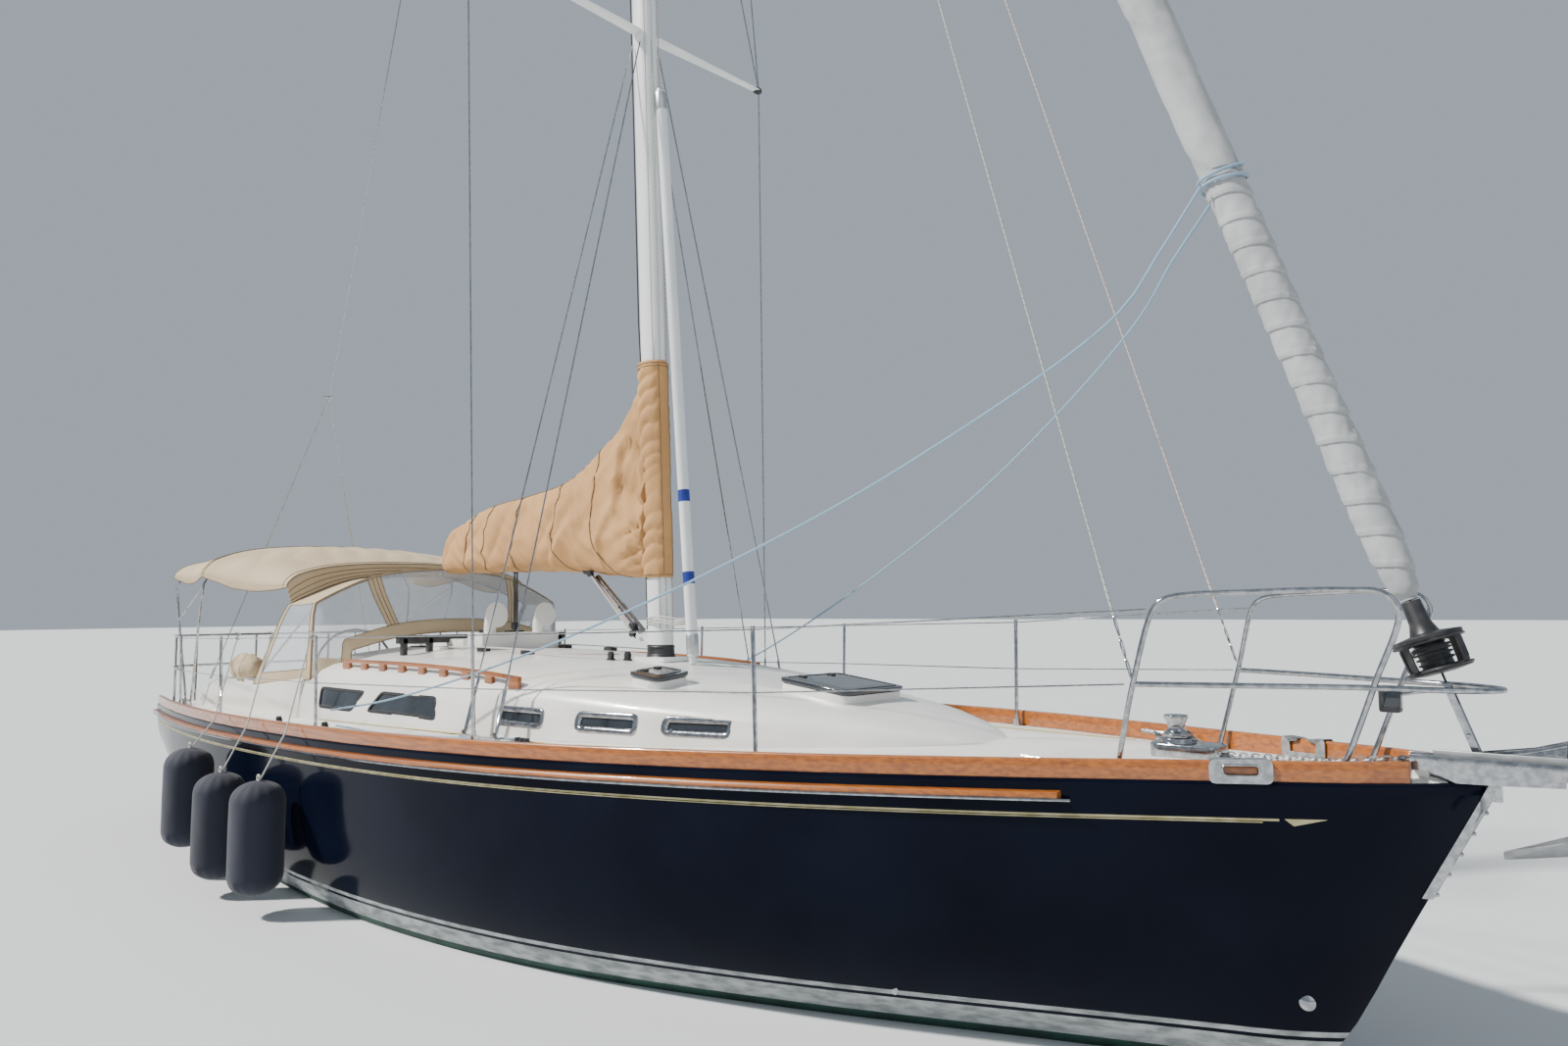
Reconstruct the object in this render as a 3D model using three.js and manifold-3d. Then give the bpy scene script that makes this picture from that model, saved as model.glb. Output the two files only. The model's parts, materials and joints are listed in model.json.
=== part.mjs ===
// A cruising sailing yacht of about 12 m, afloat with its whole underwater body.
// Millimetres, +X to the bow, +Y to port, +Z up. The origin is on the water plane, amidships.
import * as THREE from 'three';
import { mergeVertices } from 'three/addons/utils/BufferGeometryUtils.js';
import Module from 'manifold-3d';

const wasm = await Module();
wasm.setup();

// Driving dimensions
const STERN = -5850;
const BOW = 6120;
const STEM_ANGLE = Math.atan2(1200, 640);
const DECK_THICKNESS = 30;
const DECK_CAMBER = 60;
const TRANSOM_RAKE = 0.22;
const TRANSOM_FROM = -4500;
const MAST_FOOT_X = 850;
const MAST_FOOT_Z = 1750;
const MAST_RAKE = 0.045;
const MASTHEAD_Z = 18400;
const MAST_LENGTHWAYS = 230;
const MAST_ACROSS = 160;
const LOWER_SPREADER_Z = 6800;
const UPPER_SPREADER_Z = 12300;
const GOOSENECK = { x: 640, z: 2560 };
const FORESTAY_FOOT = new THREE.Vector3(6100, 0, 1475);
const FORESTAY_HEAD = new THREE.Vector3(390, 0, 18225);
const RUDDER_AXIS_X = -4650;
const PROPELLER = { x: -3000, z: -725, tilt: 0.14 };
const GUARD_HEIGHT = 750;
const FIT_GAP = 0.5;
const MOVE_GAP = 8;

// The hull's sections: x, half-breadth at the sheer, height of the keel line, and the two
// exponents of the section curve, bilge (flatness of the side) and floor (flatness of the bottom)
const HULL_TABLE = [
  { x: STERN, beam: 1405, keel: 250, bilge: 3.2, floor: 2.2 },
  { x: -4500, beam: 1679, keel: -90, bilge: 3.6, floor: 2.0 },
  { x: -3000, beam: 1895, keel: -400, bilge: 3.8, floor: 1.9 },
  { x: -1500, beam: 1997, keel: -580, bilge: 3.9, floor: 1.8 },
  { x: 0, beam: 2003, keel: -640, bilge: 3.8, floor: 1.8 },
  { x: 1500, beam: 1849, keel: -620, bilge: 3.3, floor: 1.7 },
  { x: 3000, beam: 1476, keel: -520, bilge: 2.6, floor: 1.5 },
  { x: 4200, beam: 1016, keel: -380, bilge: 2.0, floor: 1.35 },
  { x: 5200, beam: 554, keel: -150, bilge: 1.5, floor: 1.15 },
  { x: 5510, beam: 410, keel: 160, bilge: 1.3, floor: 1.1 },
  { x: 5800, beam: 271, keel: 704, bilge: 1.15, floor: 1.0 },
  { x: BOW, beam: 30, keel: 1304, bilge: 1.0, floor: 1.0 },
];
const STATIONS = [STERN, -5400, -4900, -4300, -3600, -2900, -2200, -1500, -750, 0, 750, 1500,
  2200, 2900, 3500, 4000, 4450, 4850, 5200, 5450, 5700, 5880, 6030, BOW];
const SECTION_STEPS = 12;
const FINE_STEPS = 40;

// The coachroof: x, half-width at the deck, height of the centre line
const TRUNK_TABLE = [
  { x: -2450, side: 1330, top: 1800 },
  { x: -500, side: 1335, top: 1790 },
  { x: 850, side: 1275, top: 1745 },
  { x: 1800, side: 1120, top: 1665 },
  { x: 2500, side: 915, top: 1594 },
  { x: 3200, side: 600, top: 1497 },
  { x: 3600, side: 330, top: 1410 },
  { x: 3800, side: 110, top: 1335 },
];
const TRUNK_STATIONS = [-2450, -1500, -500, 300, 1100, 1800, 2500, 2900, 3200, 3450, 3650, 3800];
const TRUNK_WALL = 38;
const BULKHEAD_WALL = 40;

// The canvas over the flaked mainsail: x, underside, top, half-width
const COVER_TABLE = [
  { x: 580, under: 2380, top: 3860, half: 95 },
  { x: 430, under: 2390, top: 3660, half: 125 },
  { x: 50, under: 2430, top: 3400, half: 150 },
  { x: -350, under: 2450, top: 3215, half: 160 },
  { x: -860, under: 2450, top: 3140, half: 160 },
  { x: -1570, under: 2470, top: 3070, half: 150 },
  { x: -2160, under: 2485, top: 2905, half: 115 },
];

const colours = {
  navy: [0x10131c, 0.25, 0],
  gelcoat: [0xe9e7e0, 0.35, 0],
  teak: [0x9a5a2c, 0.45, 0],
  stainless: [0xc9ccd0, 0.25, 1],
  galvanised: [0x8e9296, 0.55, 0.9],
  white: [0xf0f0ee, 0.35, 0],
  alloy: [0xb9bcc0, 0.4, 0.9],
  canvas: [0xc9a983, 0.9, 0],
  sailcloth: [0xc4c8cb, 0.85, 0],
  black: [0x15161a, 0.5, 0],
  smoked: [0x20262b, 0.15, 0],
  fender: [0x161b33, 0.95, 0],
  antifouling: [0x1e4a3c, 0.8, 0],
  bronze: [0xa07a3c, 0.4, 0.9],
  iron: [0x5a6a70, 0.6, 0.4],
  grey: [0x8f9296, 0.6, 0],
};
const paint = {};
for (const [name, [color, roughness, metalness]] of Object.entries(colours)) {
  paint[name] = new THREE.MeshStandardMaterial({ color, roughness, metalness });
}

// General shape helpers
const clamp = (value, low, high) => Math.min(Math.max(value, low), high);
const at = (x, y, z) => new THREE.Vector3(x, y, z);
const mirrored = points => points.map(p => at(p.x, -p.y, p.z));
const SIDES = [['starboard', -1], ['port', 1]];

// A smooth curve through one column of a table, as a function of x
function smooth(table, column) {
  const rows = [...table].sort((a, b) => a.x - b.x);
  const slopes = rows.map((row, i) => {
    const before = rows[Math.max(i - 1, 0)];
    const after = rows[Math.min(i + 1, rows.length - 1)];
    return (after[column] - before[column]) / (after.x - before.x);
  });
  return x => {
    const passed = rows.filter(row => row.x <= x).length;
    const k = clamp(passed - 1, 0, rows.length - 2);
    const span = rows[k + 1].x - rows[k].x;
    const t = clamp((x - rows[k].x) / span, 0, 1);
    const [a, b] = [rows[k][column], rows[k + 1][column]];
    const [da, db] = [slopes[k] * span, slopes[k + 1] * span];
    return a + t * (da + t * (3 * (b - a) - 2 * da - db + t * (2 * (a - b) + da + db)));
  };
}

// Position-only geometry with shared corners, no empty triangles and its faces outward
function bare(geometry) {
  const plain = new THREE.BufferGeometry();
  plain.setAttribute('position', geometry.getAttribute('position').clone());
  plain.setIndex(geometry.getIndex() ? geometry.getIndex().clone() : null);
  const merged = mergeVertices(plain, 1e-3);
  const index = merged.getIndex().array;
  const place = merged.getAttribute('position');
  const corner = i => at(place.getX(i), place.getY(i), place.getZ(i));
  const kept = [];
  let volume = 0;
  for (let t = 0; t < index.length; t += 3) {
    const [a, b, c] = index.slice(t, t + 3);
    if (a === b || b === c || c === a) continue;
    kept.push(a, b, c);
    volume += corner(a).dot(corner(b).cross(corner(c)));
  }
  if (volume < 0) {
    for (let t = 0; t < kept.length; t += 3) [kept[t], kept[t + 1]] = [kept[t + 1], kept[t]];
  }
  merged.setIndex(kept);
  return merged;
}

function solid(geometry) {
  const closed = bare(geometry);
  return new wasm.Manifold(new wasm.Mesh({
    numProp: 3,
    vertProperties: new Float32Array(closed.getAttribute('position').array),
    triVerts: new Uint32Array(closed.getIndex().array),
  }));
}

function shapeOf(body) {
  const mesh = body.getMesh();
  const corners = new Float32Array(mesh.vertProperties);
  const geometry = new THREE.BufferGeometry();
  geometry.setAttribute('position', new THREE.BufferAttribute(corners, 3));
  geometry.setIndex([...mesh.triVerts]);
  return geometry;
}

const joined = geometries => shapeOf(geometries.map(solid).reduce((sum, next) => sum.add(next)));
const cut = (geometry, ...cutters) =>
  shapeOf(cutters.map(solid).reduce((rest, cutter) => rest.subtract(cutter), solid(geometry)));

// A closed body through rings of equal point counts, its ends closed by a strip across the ring
function loft(rings) {
  const count = rings[0].length;
  const triangles = [];
  for (let r = 0; r < rings.length - 1; r++) {
    for (let i = 0; i < count; i++) {
      const j = (i + 1) % count;
      const [a, b, c, d] = [r * count + i, r * count + j, (r + 1) * count + i, (r + 1) * count + j];
      triangles.push(a, b, d, a, d, c);
    }
  }
  const cap = (first, reversed) => {
    const face = corners => {
      const facing = reversed ? corners.reverse() : corners;
      triangles.push(...facing.map(i => first + i));
    };
    for (let i = 0; i + 1 < count - 1 - i; i++) {
      const [next, opposite, before] = [i + 1, count - 1 - i, count - 2 - i];
      face([i, next, opposite]);
      if (next < before) face([next, before, opposite]);
    }
  };
  cap(0, true);
  cap((rings.length - 1) * count, false);
  const geometry = new THREE.BufferGeometry().setFromPoints(rings.flat());
  geometry.setIndex(triangles);
  return bare(geometry);
}

function box(x0, x1, y0, y1, z0, z1) {
  return new THREE.BoxGeometry(x1 - x0, y1 - y0, z1 - z0)
    .translate((x0 + x1) / 2, (y0 + y1) / 2, (z0 + z1) / 2);
}

// A round bar between two points, or a cone where the end radius differs
function bar(from, to, radius, sides = 6, endRadius = radius) {
  const along = to.clone().sub(from);
  const turn = new THREE.Quaternion().setFromUnitVectors(at(0, 1, 0), along.clone().normalize());
  return new THREE.CylinderGeometry(endRadius, radius, along.length(), sides)
    .applyQuaternion(turn)
    .translate(...from.clone().add(to).multiplyScalar(0.5).toArray());
}

function tube(points, radius, steps, sides = 6) {
  const path = new THREE.CatmullRomCurve3(points, false, 'centripetal');
  const corners = Array.from({ length: sides }, (_, i) => {
    const angle = (i / sides) * 2 * Math.PI;
    return new THREE.Vector2(radius * Math.cos(angle), radius * Math.sin(angle));
  });
  const outline = new THREE.Shape(corners);
  return new THREE.ExtrudeGeometry(outline, { steps, extrudePath: path, bevelEnabled: false });
}

// A plate with rounded corners, lying flat, its underside at z = 0
function plate(length, width, corner, thick) {
  const shape = new THREE.Shape();
  const [a, b] = [length / 2, width / 2];
  shape.moveTo(-a + corner, -b);
  shape.absarc(a - corner, -b + corner, corner, -Math.PI / 2, 0);
  shape.absarc(a - corner, b - corner, corner, 0, Math.PI / 2);
  shape.absarc(-a + corner, b - corner, corner, Math.PI / 2, Math.PI);
  shape.absarc(-a + corner, -b + corner, corner, Math.PI, 1.5 * Math.PI);
  return new THREE.ExtrudeGeometry(shape, { depth: thick, bevelEnabled: false, curveSegments: 2 });
}

const lathe = (profile, sides) =>
  new THREE.LatheGeometry(profile.map(([r, z]) => new THREE.Vector2(r, z)), sides).rotateX(Math.PI / 2);

const yacht = new THREE.Group();
function addPiece(name, geometry, material) {
  const mesh = new THREE.Mesh(bare(geometry), material);
  mesh.name = name;
  yacht.add(mesh);
}

// Surfaces that the pieces share
const sheer = x => 1220 + 0.019678 * x + 0.0005019e-3 * x * x;
const beam = smooth(HULL_TABLE, 'beam');
const keelLine = smooth(HULL_TABLE, 'keel');
const bilge = smooth(HULL_TABLE, 'bilge');
const floor = smooth(HULL_TABLE, 'floor');
const deckTop = (x, y) => sheer(x) + DECK_CAMBER * (1 - (y / beam(x)) ** 2);
const hullEdge = x => sheer(x) - DECK_THICKNESS - FIT_GAP;
const mastX = z => MAST_FOOT_X - MAST_RAKE * (z - MAST_FOOT_Z);

function hullSide(x, z) {
  const depth = clamp((hullEdge(x) - z) / (hullEdge(x) - keelLine(x)), 0, 1);
  return beam(x) * (1 - depth ** bilge(x)) ** (1 / floor(x));
}

// Half a section from the keel line up to the sheer, its points evenly spaced
function halfSection(x) {
  const fine = Array.from({ length: FINE_STEPS + 1 }, (_, i) => {
    const angle = (i / FINE_STEPS) * Math.PI / 2;
    const y = beam(x) * Math.sin(angle) ** (2 / floor(x));
    const z = hullEdge(x) - (hullEdge(x) - keelLine(x)) * Math.cos(angle) ** (2 / bilge(x));
    return at(x, y, z);
  });
  return new THREE.CatmullRomCurve3(fine).getSpacedPoints(SECTION_STEPS);
}

const CAMBER_STEPS = [-1, -0.7, -0.35, 0, 0.35, 0.7, 1];
const deckLine = (x, drop) => CAMBER_STEPS.map(k => at(x, k * beam(x), deckTop(x, k * beam(x)) - drop));

function raked(point) {
  const share = clamp((TRANSOM_FROM - point.x) / (TRANSOM_FROM - STERN), 0, 1);
  return at(point.x + share * TRANSOM_RAKE * (sheer(point.x) - point.z), point.y, point.z);
}

function hullForm() {
  return loft(STATIONS.map(x => {
    const port = halfSection(x);
    const starboard = mirrored(port).reverse().slice(0, -1);
    const top = deckLine(x, DECK_THICKNESS + FIT_GAP).slice(1, -1).reverse();
    return [...starboard, ...port, ...top].map(raked);
  }));
}

// The space under the deck's top surface, raised a little, which trims what stands on the deck
function deckBlock(raise) {
  return loft(STATIONS.map(x => {
    const top = deckLine(x, -raise);
    const side = beam(x) + 5;
    const edge = top[0].z;
    return [at(x, -side, 0), at(x, -side, edge), ...top.slice(1, -1), at(x, side, edge), at(x, side, 0)];
  }));
}

const deckTrim = deckBlock(FIT_GAP);
const onDeck = geometry => cut(geometry, deckTrim);

// Hull, deck, coachroof and cockpit
const CABIN_OUTLINE = [[-2410, 1200], [-500, 1215], [850, 1150], [1800, 985], [2500, 770], [3000, 540]];
const SOLE = { x0: -2350, x1: 2000, half: 550, z: -300 };
const ENGINE_BAY = { x0: -3150, x1: -2300, half: 360, z0: -170, z1: 420 };
const WELL = { x0: -5045, x1: -2455, half: 1105, z: 545 };
const FOOTWELL = { x0: -4700, x1: -2780, half: 420, z: 660 };
const SEAT = { z: 1150, half: 1050, x0: -4980 };
const SHAFT_BORE = 28;
const RUDDER_BORE = 40;
// Heights that lie clear under the deck's edge and clear over the coachroof
const UNDER_DECK = 900;
const OVER_ROOF = 2000;
const CABIN_FLAT = 450;
const shaftAt = x => at(x, 0, PROPELLER.z + (x - PROPELLER.x) * PROPELLER.tilt);

function prism(outline, z0, z1) {
  const shape = new THREE.Shape(outline.map(([x, y]) => new THREE.Vector2(x, y)));
  return new THREE.ExtrudeGeometry(shape, { depth: z1 - z0, bevelEnabled: false }).translate(0, 0, z0);
}
const cabinPlan = [...CABIN_OUTLINE, ...CABIN_OUTLINE.map(([x, y]) => [x, -y]).reverse()];

function hull() {
  return cut(hullForm(),
    prism(cabinPlan, CABIN_FLAT, OVER_ROOF),
    box(SOLE.x0, SOLE.x1, -SOLE.half, SOLE.half, SOLE.z, CABIN_FLAT + 10),
    box(ENGINE_BAY.x0, ENGINE_BAY.x1, -ENGINE_BAY.half, ENGINE_BAY.half, ENGINE_BAY.z0, ENGINE_BAY.z1),
    box(WELL.x0, WELL.x1, -WELL.half, WELL.half, WELL.z, OVER_ROOF),
    bar(at(RUDDER_AXIS_X, 0, -600), at(RUDDER_AXIS_X, 0, 262), RUDDER_BORE, 20),
    bar(shaftAt(-2500), shaftAt(-1550), SHAFT_BORE, 16));
}

function deck() {
  const slab = loft(STATIONS.map(x => [...deckLine(x, 0), ...deckLine(x, DECK_THICKNESS).reverse()]));
  return cut(slab,
    prism(cabinPlan, UNDER_DECK, OVER_ROOF),
    box(WELL.x0, WELL.x1, -WELL.half, WELL.half, UNDER_DECK, OVER_ROOF));
}

const trunkSide = smooth(TRUNK_TABLE, 'side');
const trunkTop = smooth(TRUNK_TABLE, 'top');
// The coachroof's half section: share of the half-width, and share of the height
const TRUNK_SECTION = [[1, 0], [0.982, 0.3], [0.957, 0.56], [0.92, 0.69], [0.86, 0.78], [0.62, 0.905],
  [0.31, 0.98], [0, 1]];

function trunkRing(x, inset, foot) {
  const side = trunkSide(x) - inset;
  const base = deckTop(x, trunkSide(x));
  const height = trunkTop(x) - inset - base;
  const port = [at(x, side, foot), ...TRUNK_SECTION.map(([w, h]) => at(x, side * w, base + height * h))];
  return [...port, ...mirrored(port).reverse().slice(1)];
}
// Height of the coachroof's surface at a point of its plan
function roofAt(x, y) {
  const ring = trunkRing(x, 0, 0).slice(1, 9);
  const reach = Math.abs(y);
  const k = ring.findIndex(p => p.y <= reach);
  const [outer, inner] = [ring[k - 1] ?? ring[0], ring[k] ?? ring[7]];
  const share = outer.y === inner.y ? 0 : (reach - inner.y) / (outer.y - inner.y);
  return inner.z + share * (outer.z - inner.z);
}

const roofTrim = loft(TRUNK_STATIONS.map(x => trunkRing(x, -FIT_GAP, 1100)));
const onRoof = geometry => cut(geometry, roofTrim);

// Windows in the coachroof side: x of the corners at the top and at the foot, then z
const WINDOWS = [
  { top: [-2080, -1280], foot: [-2060, -1450], z: [1320, 1480] },
  { top: [-1000, -180], foot: [-1180, -140], z: [1335, 1490] },
  { top: [620, 1080], foot: [620, 1080], z: [1360, 1465] },
  { top: [1380, 1860], foot: [1380, 1860], z: [1362, 1467] },
  { top: [2050, 2500], foot: [2050, 2500], z: [1372, 1465] },
];
const HATCHES = {
  fore_hatch: { x: 2620, y: 0, length: 580, width: 610, pitch: 0.122, roll: 0 },
  mid_hatch: { x: 1640, y: -700, length: 320, width: 290, pitch: 0.1, roll: 0.11 },
};
const HATCH_COAMING = 42;
const LID = { thick: 26, corner: 55 };
const HATCHWAY = { x0: -2410, x1: -1975, half: 300 };
const SLIDE = { x0: -2500, x1: -1920, half: 335, z0: 1815, z1: 1840 };
const SEAHOOD = { x0: -1975, x1: -1340, half: 385, inner: 355, ceiling: 1856, top: 1876 };
const WASHBOARD_SLOT = { x0: -2460, x1: -2400, z: 1240 };

// Puts a flat piece on the roof at a hatch's place and slope
function onHatch(geometry, hatch, lift) {
  return geometry.translate(0, 0, lift).rotateX(hatch.roll).rotateY(hatch.pitch)
    .translate(hatch.x, hatch.y, roofAt(hatch.x, hatch.y));
}

function coachroof() {
  const aft = TRUNK_STATIONS[0];
  const outer = loft(TRUNK_STATIONS.map(x => trunkRing(x, 0, 1100)));
  const innerStations = [aft + BULKHEAD_WALL, ...TRUNK_STATIONS.slice(1, 9)];
  const inner = loft(innerStations.map(x => trunkRing(x, TRUNK_WALL, 1000)));
  const coamings = Object.values(HATCHES).map(hatch => {
    const rim = plate(hatch.length - 20, hatch.width - 20, LID.corner, HATCH_COAMING + 30);
    return onHatch(rim, hatch, -30);
  });
  const hood = box(SEAHOOD.x0, SEAHOOD.x1, -SEAHOOD.half, SEAHOOD.half, 1765, SEAHOOD.top);
  const shell = joined([cut(outer, inner), hood, ...coamings]);
  const windowCuts = WINDOWS.flatMap(({ top, foot, z }) => SIDES.map(([, side]) => {
    const corners = [[top[0], z[1]], [top[1], z[1]], [foot[1], z[0]], [foot[0], z[0]]];
    const outline = new THREE.Shape(corners.map(([x, height]) => new THREE.Vector2(x, height)));
    return new THREE.ExtrudeGeometry(outline, { depth: 700, bevelEnabled: false })
      .rotateX(Math.PI / 2).translate(0, side > 0 ? 1450 : -750, 0);
  }));
  const hatchCuts = Object.values(HATCHES).map(hatch =>
    onHatch(plate(hatch.length - 110, hatch.width - 110, 30, 300), hatch, -150));
  const slideRun = box(SLIDE.x0 - 20, SEAHOOD.x1 - 20, -SEAHOOD.inner, SEAHOOD.inner,
    SLIDE.z0 - 13, SEAHOOD.ceiling);
  const way = box(HATCHWAY.x0 - 1, HATCHWAY.x1, -HATCHWAY.half, HATCHWAY.half, 1700, 1900);
  const door = box(WASHBOARD_SLOT.x0, WASHBOARD_SLOT.x1, -HATCHWAY.half, HATCHWAY.half,
    WASHBOARD_SLOT.z, 1900);
  return cut(shell, deckTrim, slideRun, way, door, ...windowCuts, ...hatchCuts);
}

// The coaming block: x, half-width at the deck, height
const COAMING_TABLE = [
  { x: -5050, half: 1250, top: 1430 },
  { x: -3600, half: 1325, top: 1470 },
  { x: -2455, half: 1340, top: 1560 },
];

const WINCH = { x: -3850, y: 1170, z: 1462 };

function coamingBlock(grow) {
  return loft(COAMING_TABLE.map(({ x, half, top }) => {
    const port = [at(x, half + grow, 1000), at(x, half + grow - 30, top + grow - 40),
      at(x, half + grow - 80, top + grow)];
    return [...port, ...mirrored(port).reverse()];
  }));
}

function cockpit() {
  const block = coamingBlock(0);
  const tub = box(WELL.x0 + FIT_GAP, WELL.x1 - FIT_GAP, -WELL.half + FIT_GAP, WELL.half - FIT_GAP,
    WELL.z + FIT_GAP, 1300);
  const winchBase = lathe([[0, -60], [88, -60], [88, 14], [80, 30], [0, 30]], 16);
  const winchBases = SIDES.map(([, side]) =>
    winchBase.clone().translate(WINCH.x, side * WINCH.y, WINCH.z));
  return cut(joined([onDeck(block), tub, ...winchBases]),
    box(SEAT.x0, -2400, -SEAT.half, SEAT.half, SEAT.z, 2500),
    box(FOOTWELL.x0, FOOTWELL.x1, -FOOTWELL.half, FOOTWELL.half, FOOTWELL.z, 2500));
}

addPiece('hull', hull(), paint.navy);
addPiece('deck', deck(), paint.gelcoat);
addPiece('coachroof', coachroof(), paint.gelcoat);
addPiece('cockpit', cockpit(), paint.gelcoat);
addPiece('washboard', box(WASHBOARD_SLOT.x0 + 18, WASHBOARD_SLOT.x1 - 18, -HATCHWAY.half + 5,
  HATCHWAY.half - 5, WASHBOARD_SLOT.z + 3, SLIDE.z0 - 18), paint.teak);
addPiece('companion_hatch', box(SLIDE.x0, SLIDE.x1, -SLIDE.half, SLIDE.half, SLIDE.z0, SLIDE.z1),
  paint.gelcoat);
addPiece('engine_block', box(-3100, -2350, -300, 300, ENGINE_BAY.z0 + FIT_GAP, 360), paint.iron);
for (const [name, hatch] of Object.entries(HATCHES)) {
  const lid = onHatch(plate(hatch.length, hatch.width, LID.corner, LID.thick), hatch, HATCH_COAMING + 6);
  addPiece(`${name}_lid`, lid, paint.smoked);
}

// Keel, rudder and propeller
// Half the outline of a fin: share of the chord from the leading edge, and share of the thickness
const FIN_SHAPE = [[0, 0], [0.03, 0.42], [0.12, 0.8], [0.3, 1], [0.5, 0.9], [0.75, 0.52], [1, 0.06]];
function fin(levels) {
  return loft(levels.map(({ z, lead, chord, half }) => {
    const port = FIN_SHAPE.map(([c, t]) => at(lead - c * chord, t * half, z));
    return [...port, ...mirrored(port).reverse().slice(0, -1)];
  }));
}
const hullLowered = hullForm().translate(0, 0, -FIT_GAP);

addPiece('keel', cut(fin([
  { z: -450, lead: 1560, chord: 2200, half: 115 },
  { z: -1250, lead: 1330, chord: 1900, half: 110 },
  { z: -1900, lead: 1140, chord: 1700, half: 130 },
  { z: -2060, lead: 1060, chord: 1560, half: 80 },
]), hullLowered), paint.antifouling);

addPiece('rudder', joined([
  fin([
    { z: -1700, lead: -4500, chord: 430, half: 26 },
    { z: -1600, lead: -4470, chord: 480, half: 40 },
    { z: -900, lead: -4435, chord: 600, half: 48 },
    { z: -195, lead: -4420, chord: 670, half: 55 },
  ]),
  bar(at(RUDDER_AXIS_X, 0, -900), at(RUDDER_AXIS_X, 0, 250), 32, 16),
]), paint.antifouling);

function propeller() {
  const shaft = bar(shaftAt(-3060), shaftAt(-1600), 15, 10);
  const hub = bar(shaftAt(-3065), shaftAt(-2945), 42, 14, 48);
  const blades = [0, 1, 2].map(i => new THREE.SphereGeometry(1, 8, 6).scale(7, 72, 115)
    .rotateZ(0.45).translate(0, 0, 125).rotateX((i / 3) * 2 * Math.PI)
    .rotateY(-PROPELLER.tilt).translate(PROPELLER.x, 0, PROPELLER.z));
  return joined([shaft, hub, ...blades]);
}
addPiece('propeller', propeller(), paint.bronze);

const bracketFoot = shaftAt(-2840);
addPiece('shaft_bracket', cut(joined([
  bar(shaftAt(-2900), shaftAt(-2780), 38, 14),
  box(-2890, -2790, -8, 8, bracketFoot.z + 25, -300),
]), bar(shaftAt(-2950), shaftAt(-2730), 21, 14), hullLowered), paint.bronze);

// Rails along the deck edge
const RAIL_END = 5880;
const RAIL_HEIGHT = 108;
const STRAKE = { low: 84, high: 34, out: 38 };
const STRAKE_STATIONS = [...STATIONS.filter(x => x <= 4450), 4600];
for (const [side, sign] of SIDES) {
  addPiece(`toe_rail_${side}`, onDeck(loft(STATIONS.filter(x => x <= RAIL_END).map(x => {
    const edge = beam(x);
    return [
      at(x, sign * (edge - 2), sheer(x) - 8),
      at(x, sign * (edge - 8), sheer(x) + RAIL_HEIGHT - 8),
      at(x, sign * (edge - 16), sheer(x) + RAIL_HEIGHT),
      at(x, sign * (edge - 40), sheer(x) + RAIL_HEIGHT),
      at(x, sign * (edge - 48), sheer(x) + RAIL_HEIGHT - 8),
      at(x, sign * (edge - 54), sheer(x) - 8),
    ];
  }))), paint.teak);
  addPiece(`rub_strake_${side}`, loft(STRAKE_STATIONS.map(x => {
    const [low, high] = [sheer(x) - STRAKE.low, sheer(x) - STRAKE.high];
    const out = hullSide(x, low) + STRAKE.out;
    return [
      at(x, sign * (hullSide(x, low) + 2), low), at(x, sign * out, low + 6),
      at(x, sign * (out + 10), (low + high) / 2), at(x, sign * out, high - 6),
      at(x, sign * (hullSide(x, high) + 2), high),
    ];
  })), paint.teak);
}

// Bow: stem fitting with the anchor roller, anchor, windlass, pulpit
const ROLLER = { y: -110, z: 1440, x0: 5870, x1: 6480, half: 52 };
const stemPoint = z => at(5510 + (z - 160) / Math.tan(STEM_ANGLE), 0, z);

function stemFitting() {
  const outward = at(Math.sin(STEM_ANGLE), 0, -Math.cos(STEM_ANGLE));
  const [low, high] = [stemPoint(960), stemPoint(1330)];
  const strap = loft([low, high].map(p => {
    const near = p.clone().addScaledVector(outward, 6);
    const far = p.clone().addScaledVector(outward, 14);
    return [at(near.x, 20, near.z), at(far.x, 12, far.z), at(far.x, -12, far.z), at(near.x, -20, near.z)];
  }));
  const headPlate = box(5900, 6170, -45, 45, 1424, 1436);
  const nose = box(6128, 6172, -20, 20, 1300, 1430);
  const tang = box(6070, 6130, -7, 7, 1430, 1492);
  const pad = onDeck(box(5895, 5990, -42, 42, 1400, 1430));
  const channel = cut(box(ROLLER.x0, ROLLER.x1, ROLLER.y - ROLLER.half, 0, 1424, 1490),
    box(ROLLER.x0 - 5, ROLLER.x1 + 5, ROLLER.y - ROLLER.half + 6, ROLLER.y + ROLLER.half - 6, 1432, 1600),
    box(ROLLER.x0 - 5, ROLLER.x1 + 5, ROLLER.y + ROLLER.half, 5, 1436, 1600));
  const wheel = bar(at(6440, ROLLER.y - ROLLER.half, 1440), at(6440, ROLLER.y + ROLLER.half, 1440), 30, 12);
  return joined([strap, nose, headPlate, tang, pad, channel, wheel]);
}
addPiece('stem_fitting', stemFitting(), paint.stainless);

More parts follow.
